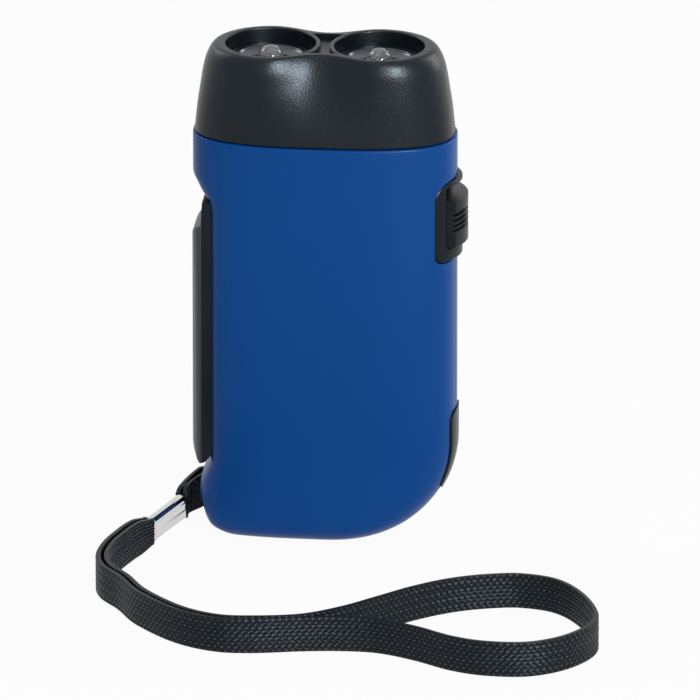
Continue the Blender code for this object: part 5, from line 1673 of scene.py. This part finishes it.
    def on_floor(self, route: Sequence[Vector]) -> list[Vector]:
        """Raise a flat route to the middle height of the standing band."""
        return [Vector((*place, self.floor_z())) for place in route]

    def build(self, finishes: Finishes) -> None:
        """Args:
            finishes: The finishes.
        """
        tab = self.ribbon("strap_tab_band", self.tab_route(), 0.0, (True, True))
        dress(tab, finishes.nylon, Body.HOUSING, "strap_tab")
        crimp = dress(self.crimp(), finishes.chrome, Body.HOUSING, "strap_crimp")
        middle = [Vector(place) for place in (self.crimp_end, *self.lead_route)]
        near, back = [], []
        for number, knot in enumerate(middle):
            heading = (middle[min(number + 1, len(middle) - 1)] - middle[max(number - 1, 0)]).normalized()
            aside = Vector((-heading.y, heading.x)) * self.ply_pitch / 2
            near.append(knot - aside)
            back.insert(0, knot + aside)
        loop = [near[-1], *(Vector(place) for place in self.loop_route), back[0]]
        runs = (("strap_near_ply", "strap_lead", (True, False), near, {"after": loop[1]}),
                ("strap_loop_band", "strap_loop", (False, False), loop,
                 {"before": near[-2], "after": back[1]}),
                ("strap_far_ply", "strap_lead", (False, True), back, {"before": loop[-2]}))
        bands, routes = [], []
        travelled = 0.0
        for name, node, gathered, knots, joined in runs:
            routes.append(self.on_floor(smooth_route(knots, self.spacing, **joined)))
            band = self.ribbon(name, routes[-1], travelled, gathered)
            bands.append(dress(band, finishes.nylon, Body.HOUSING, node))
            travelled += run_length(routes[-1])


# Mechanism


WIRE_SIDES = 10
COIL_SOCKETS = {"Turns": "NodeSocketFloat", "Radius": "NodeSocketFloat", "Height": "NodeSocketFloat",
                "Wire Radius": "NodeSocketFloat", "Steps": "NodeSocketInt", "Material": "NodeSocketMaterial"}


def coil_tree() -> bpy.types.NodeTree:
    """Geometry nodes for a coil of round wire, with named inputs for its sizes.

    Returns:
        The node group.
    """
    tree = bpy.data.node_groups.new("wire coil", "GeometryNodeTree")
    for name, kind in COIL_SOCKETS.items():
        tree.interface.new_socket(name, in_out="INPUT", socket_type=kind)
    tree.interface.new_socket("Geometry", in_out="OUTPUT", socket_type="NodeSocketGeometry")
    given = add_node(tree, "NodeGroupInput").outputs
    spiral = add_node(tree, "GeometryNodeCurveSpiral", {}, {
        "Resolution": given["Steps"], "Rotations": given["Turns"], "Start Radius": given["Radius"],
        "End Radius": given["Radius"], "Height": given["Height"]})
    wire = add_node(tree, "GeometryNodeCurvePrimitiveCircle", {"Resolution": WIRE_SIDES},
                    {"Radius": given["Wire Radius"]})
    tube = add_node(tree, "GeometryNodeCurveToMesh", {"Fill Caps": True}, {
        "Curve": spiral.outputs["Curve"], "Profile Curve": wire.outputs["Curve"]})
    real = add_node(tree, "GeometryNodeRealizeInstances", {}, {"Geometry": tube.outputs["Mesh"]})
    coated = add_node(tree, "GeometryNodeSetMaterial", {}, {
        "Geometry": real.outputs["Geometry"], "Material": given["Material"]})
    add_node(tree, "NodeGroupOutput", {}, {"Geometry": coated.outputs["Geometry"]})
    return tree


@dataclass
class Mechanism:
    """The pieces inside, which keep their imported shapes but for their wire."""

    spring_turns: float = 6.0
    spring_radius: float = 0.0021
    spring_wire: float = 0.00025
    spring_keep: float = 0.5
    winding_wire: float = 0.00014
    winding_pitch: float = 2.1
    core_hole: float = 0.0035
    turn_steps: int = 28

    def coil(self, name: str, turns: float, radius: float, wire: float, material: bpy.types.Material,
             node: str) -> Piece:
        """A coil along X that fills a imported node's box, made by the node tree and settled as a plain mesh.

        Args:
            name: Name of the object.
            turns: Number of turns.
            radius: Radius of the coil's middle line.
            wire: Radius of the wire.
            material: Its material.
            node: The node that it stands for.

        Returns:
            The coil.
        """
        low, high = (Vector(corner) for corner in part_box(node))
        holder = bpy.data.objects.new(name, bpy.data.meshes.new(name))
        bpy.context.scene.collection.objects.link(holder)
        tree = bpy.data.node_groups.get("wire coil") or coil_tree()
        step = holder.modifiers.new("wire coil", "NODES")
        step.node_group = tree
        values = {"Turns": turns, "Radius": radius, "Height": high.x - low.x - 2 * wire,
                  "Wire Radius": wire, "Steps": self.turn_steps, "Material": material}
        for item in tree.interface.items_tree:
            if item.in_out == "INPUT":
                step[item.identifier] = values[item.name]
        settle(holder)
        middle = (low + high) / 2
        holder.data.transform(Matrix.Translation((low.x + wire, middle.y, middle.z))
                              @ Matrix.Rotation(QUARTER, 4, "Y"))
        return dress(holder, material, Body.HOUSING, node)

    def build(self, finishes: Finishes) -> None:
        """Dress the inner pieces and wind the spring and the generator's coil.

        Args:
            finishes: The finishes.
        """
        looks = {
            finishes.acetal: ("gear_1", "gear_2", "rotor_pinion", "gear_plate_front", "gear_plate_rear",
                              "coil_bobbin"),
            finishes.steel: ("lever_pin", "gear_1_axle", "gear_2_axle", "rotor_axle", "stator_core",
                             "slide_switch", "strap_pin", "case_screw_1", "case_screw_2", "case_screw_3",
                             "case_screw_4"),
            finishes.nickel: ("battery_cell_1", "battery_cell_2", "battery_cell_3"),
            finishes.ferrite: ("magnet_rotor",),
            finishes.board: ("led_board",),
            finishes.satin: ("battery_cradle",),
        }
        for material, nodes in looks.items():
            for node in nodes:
                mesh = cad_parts[node].data
                mesh.materials.clear()
                mesh.materials.append(material)
                LOG.info("%s keeps its packed shape", node)
        spring = self.coil("lever_spring_coil", self.spring_turns, self.spring_radius, self.spring_wire,
                           finishes.steel, "lever_spring")
        low, high = (Vector(corner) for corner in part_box("lever_spring"))
        middle = (low + high) / 2
        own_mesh(spring)
        low, high = (Vector(corner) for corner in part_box("coil_winding"))
        middle = (low + high) / 2
        outer = (high.z - low.z) / 2
        core = round_bar("coil_winding_core", (low.x, middle.y, middle.z), (high.x, middle.y, middle.z),
                         outer - self.winding_wire * 2, 64)
        carve(core, [round_bar("core hole", (low.x - OVERRUN, middle.y, middle.z),
                               (high.x + OVERRUN, middle.y, middle.z), self.core_hole, 64)])
        dress(core, finishes.copper, Body.HOUSING, "coil_winding")
        turns = (high.x - low.x - 2 * self.winding_wire) / (self.winding_pitch * self.winding_wire)
        self.coil("coil_winding_wire", turns, outer - self.winding_wire, self.winding_wire,
                  finishes.copper, "coil_winding")


# Studio


@dataclass
class Studio:
    """Floor, lamps and the camera at the photograph's angle.

    Attributes:
        look_at: Middle of the picture.
        picture_width: Width of what the camera shows at the flashlight.
        floor_share: Share of the floor's look that is plain white; the rest takes light and shadow.
        shades: Brightness of the surroundings at the horizon and the ceiling, as matt surfaces see them.
    """

    azimuth: float = math.radians(5.5)
    elevation: float = math.radians(19.5)
    distance: float = 4.0
    look_at: Point = (0.0049, 0.0, 0.0368)
    picture_width: float = 0.1378
    sensor: float = 36.0
    floor_share: float = 0.94
    shades: Flat = (0.14, 0.28)

    def camera(self) -> None:
        """Place the camera."""
        data = bpy.data.cameras.new("camera")
        data.sensor_width = self.sensor
        data.lens = self.sensor * self.distance / self.picture_width
        data.clip_start = 0.05
        camera = bpy.data.objects.new("camera", data)
        bpy.context.scene.collection.objects.link(camera)
        back = Vector((math.sin(self.azimuth) * math.cos(self.elevation),
                       -math.cos(self.azimuth) * math.cos(self.elevation), math.sin(self.elevation)))
        camera.location = Vector(self.look_at) + back * self.distance
        camera.rotation_euler = (-back).to_track_quat("-Z", "Y").to_euler()
        bpy.context.scene.camera = camera

    def lamp(self, name: str, place: Point, size: tuple[float, float], power: float,
             lights: bool = True) -> None:
        """A soft box that faces the flashlight.

        Args:
            name: Name of the lamp.
            place: Where it stands.
            size: Width and height in metres.
            power: Power in watts.
            lights: Whether it lights matt surfaces too, and not only shows as a highlight.
        """
        data = bpy.data.lights.new(name, "AREA")
        data.shape = "RECTANGLE"
        data.size, data.size_y = size
        data.energy = power
        lamp = bpy.data.objects.new(name, data)
        lamp.location = place
        aim = Vector(self.look_at) - Vector(place)
        lamp.rotation_euler = aim.to_track_quat("-Z", "Y").to_euler()
        lamp.visible_diffuse = lights
        bpy.context.scene.collection.objects.link(lamp)

    def seen(self, tree: bpy.types.NodeTree) -> bpy.types.NodeSocket:
        """A socket that is one for what the camera sees, also in metal and through glass.

        Args:
            tree: The node tree it is added to.

        Returns:
            The output socket.
        """
        rays = add_node(tree, "ShaderNodeLightPath").outputs
        total = rays["Is Camera Ray"]
        for name in ("Is Glossy Ray", "Is Transmission Ray"):
            total = add_node(tree, "ShaderNodeMath", {".operation": "ADD", ".use_clamp": True},
                             {0: total, 1: rays[name]}).outputs["Value"]
        return total

    def floor(self) -> None:
        """A wide pale floor that shows white and keeps a soft shadow."""
        shape = bmesh.new()
        bmesh.ops.create_grid(shape, x_segments=2, y_segments=2, size=3.0)
        floor = finish_mesh(shape, "floor", turn_out=False)
        material, tree = start_material("white paper sweep", {
            "Base Color": linear("#e6e6e6"), "Roughness": 0.9, "Specular IOR Level": 0.0})
        glow = add_node(tree, "ShaderNodeEmission", {"Color": linear("#ffffff"), "Strength": 1.0})
        share = add_node(tree, "ShaderNodeMath", {".operation": "MULTIPLY", 1: self.floor_share},
                         {0: self.seen(tree)})
        mix = add_node(tree, "ShaderNodeMixShader", {}, {
            0: share.outputs["Value"], 1: tree.nodes["Principled BSDF"].outputs["BSDF"],
            2: glow.outputs["Emission"]})
        tree.links.new(mix.outputs["Shader"], tree.nodes["Material Output"].inputs["Surface"])
        floor.data.materials.append(material)

    def world(self) -> None:
        """Surroundings that are white to the camera and shade from a dim horizon to a light ceiling."""
        world = bpy.data.worlds.new("studio")
        bpy.context.scene.world = world
        world.use_nodes = True
        tree = world.node_tree
        toward = add_node(tree, "ShaderNodeTexCoord").outputs["Generated"]
        height = add_node(tree, "ShaderNodeSeparateXYZ", {}, {"Vector": toward}).outputs["Z"]
        shade = add_node(tree, "ShaderNodeMapRange", {"From Max": 0.9, "To Min": self.shades[0],
                                                      "To Max": self.shades[1]}, {"Value": height})
        level = add_node(tree, "ShaderNodeMix", {3: 1.0}, {0: self.seen(tree), 2: shade.outputs["Result"]})
        ground = tree.nodes["Background"]
        ground.inputs["Color"].default_value = (1.0, 1.0, 1.0, 1.0)
        tree.links.new(level.outputs[0], ground.inputs["Strength"])

    def build(self) -> None:
        """Set the scene up."""
        bpy.context.scene.view_settings.view_transform = "Standard"
        self.camera()
        self.floor()
        self.world()
        self.lamp("key soft box", (0.45, -0.8, 0.42), (0.15, 0.34), 6.2)
        self.lamp("highlight soft box", (0.45, -0.8, 0.42), (0.12, 0.26), 9.5, lights=False)
        self.lamp("left rear soft box", (-0.8, 0.5, 0.65), (0.4, 0.5), 2.6)
        self.lamp("right rear soft box", (0.75, 0.55, 0.4), (0.3, 0.6), 3.0)
        self.lamp("top soft box", (-0.1, -0.15, 0.95), (0.7, 0.6), 1.0)


def main() -> None:
    """Build the studio and every sub-assembly in order."""
    logging.basicConfig(level=logging.INFO)
    Studio().build()
    finishes = Finishes()
    WristStrap().build(finishes)
    housing, switch, plug = Housing(), SlideSwitch(), SocketPlug()
    housing.build(finishes, switch, plug)
    Head().build(finishes)
    PressLever().build(finishes, housing)
    switch.build(finishes)
    plug.build(finishes, housing)
    Mechanism().build(finishes)


if __name__ == "__main__":
    main()
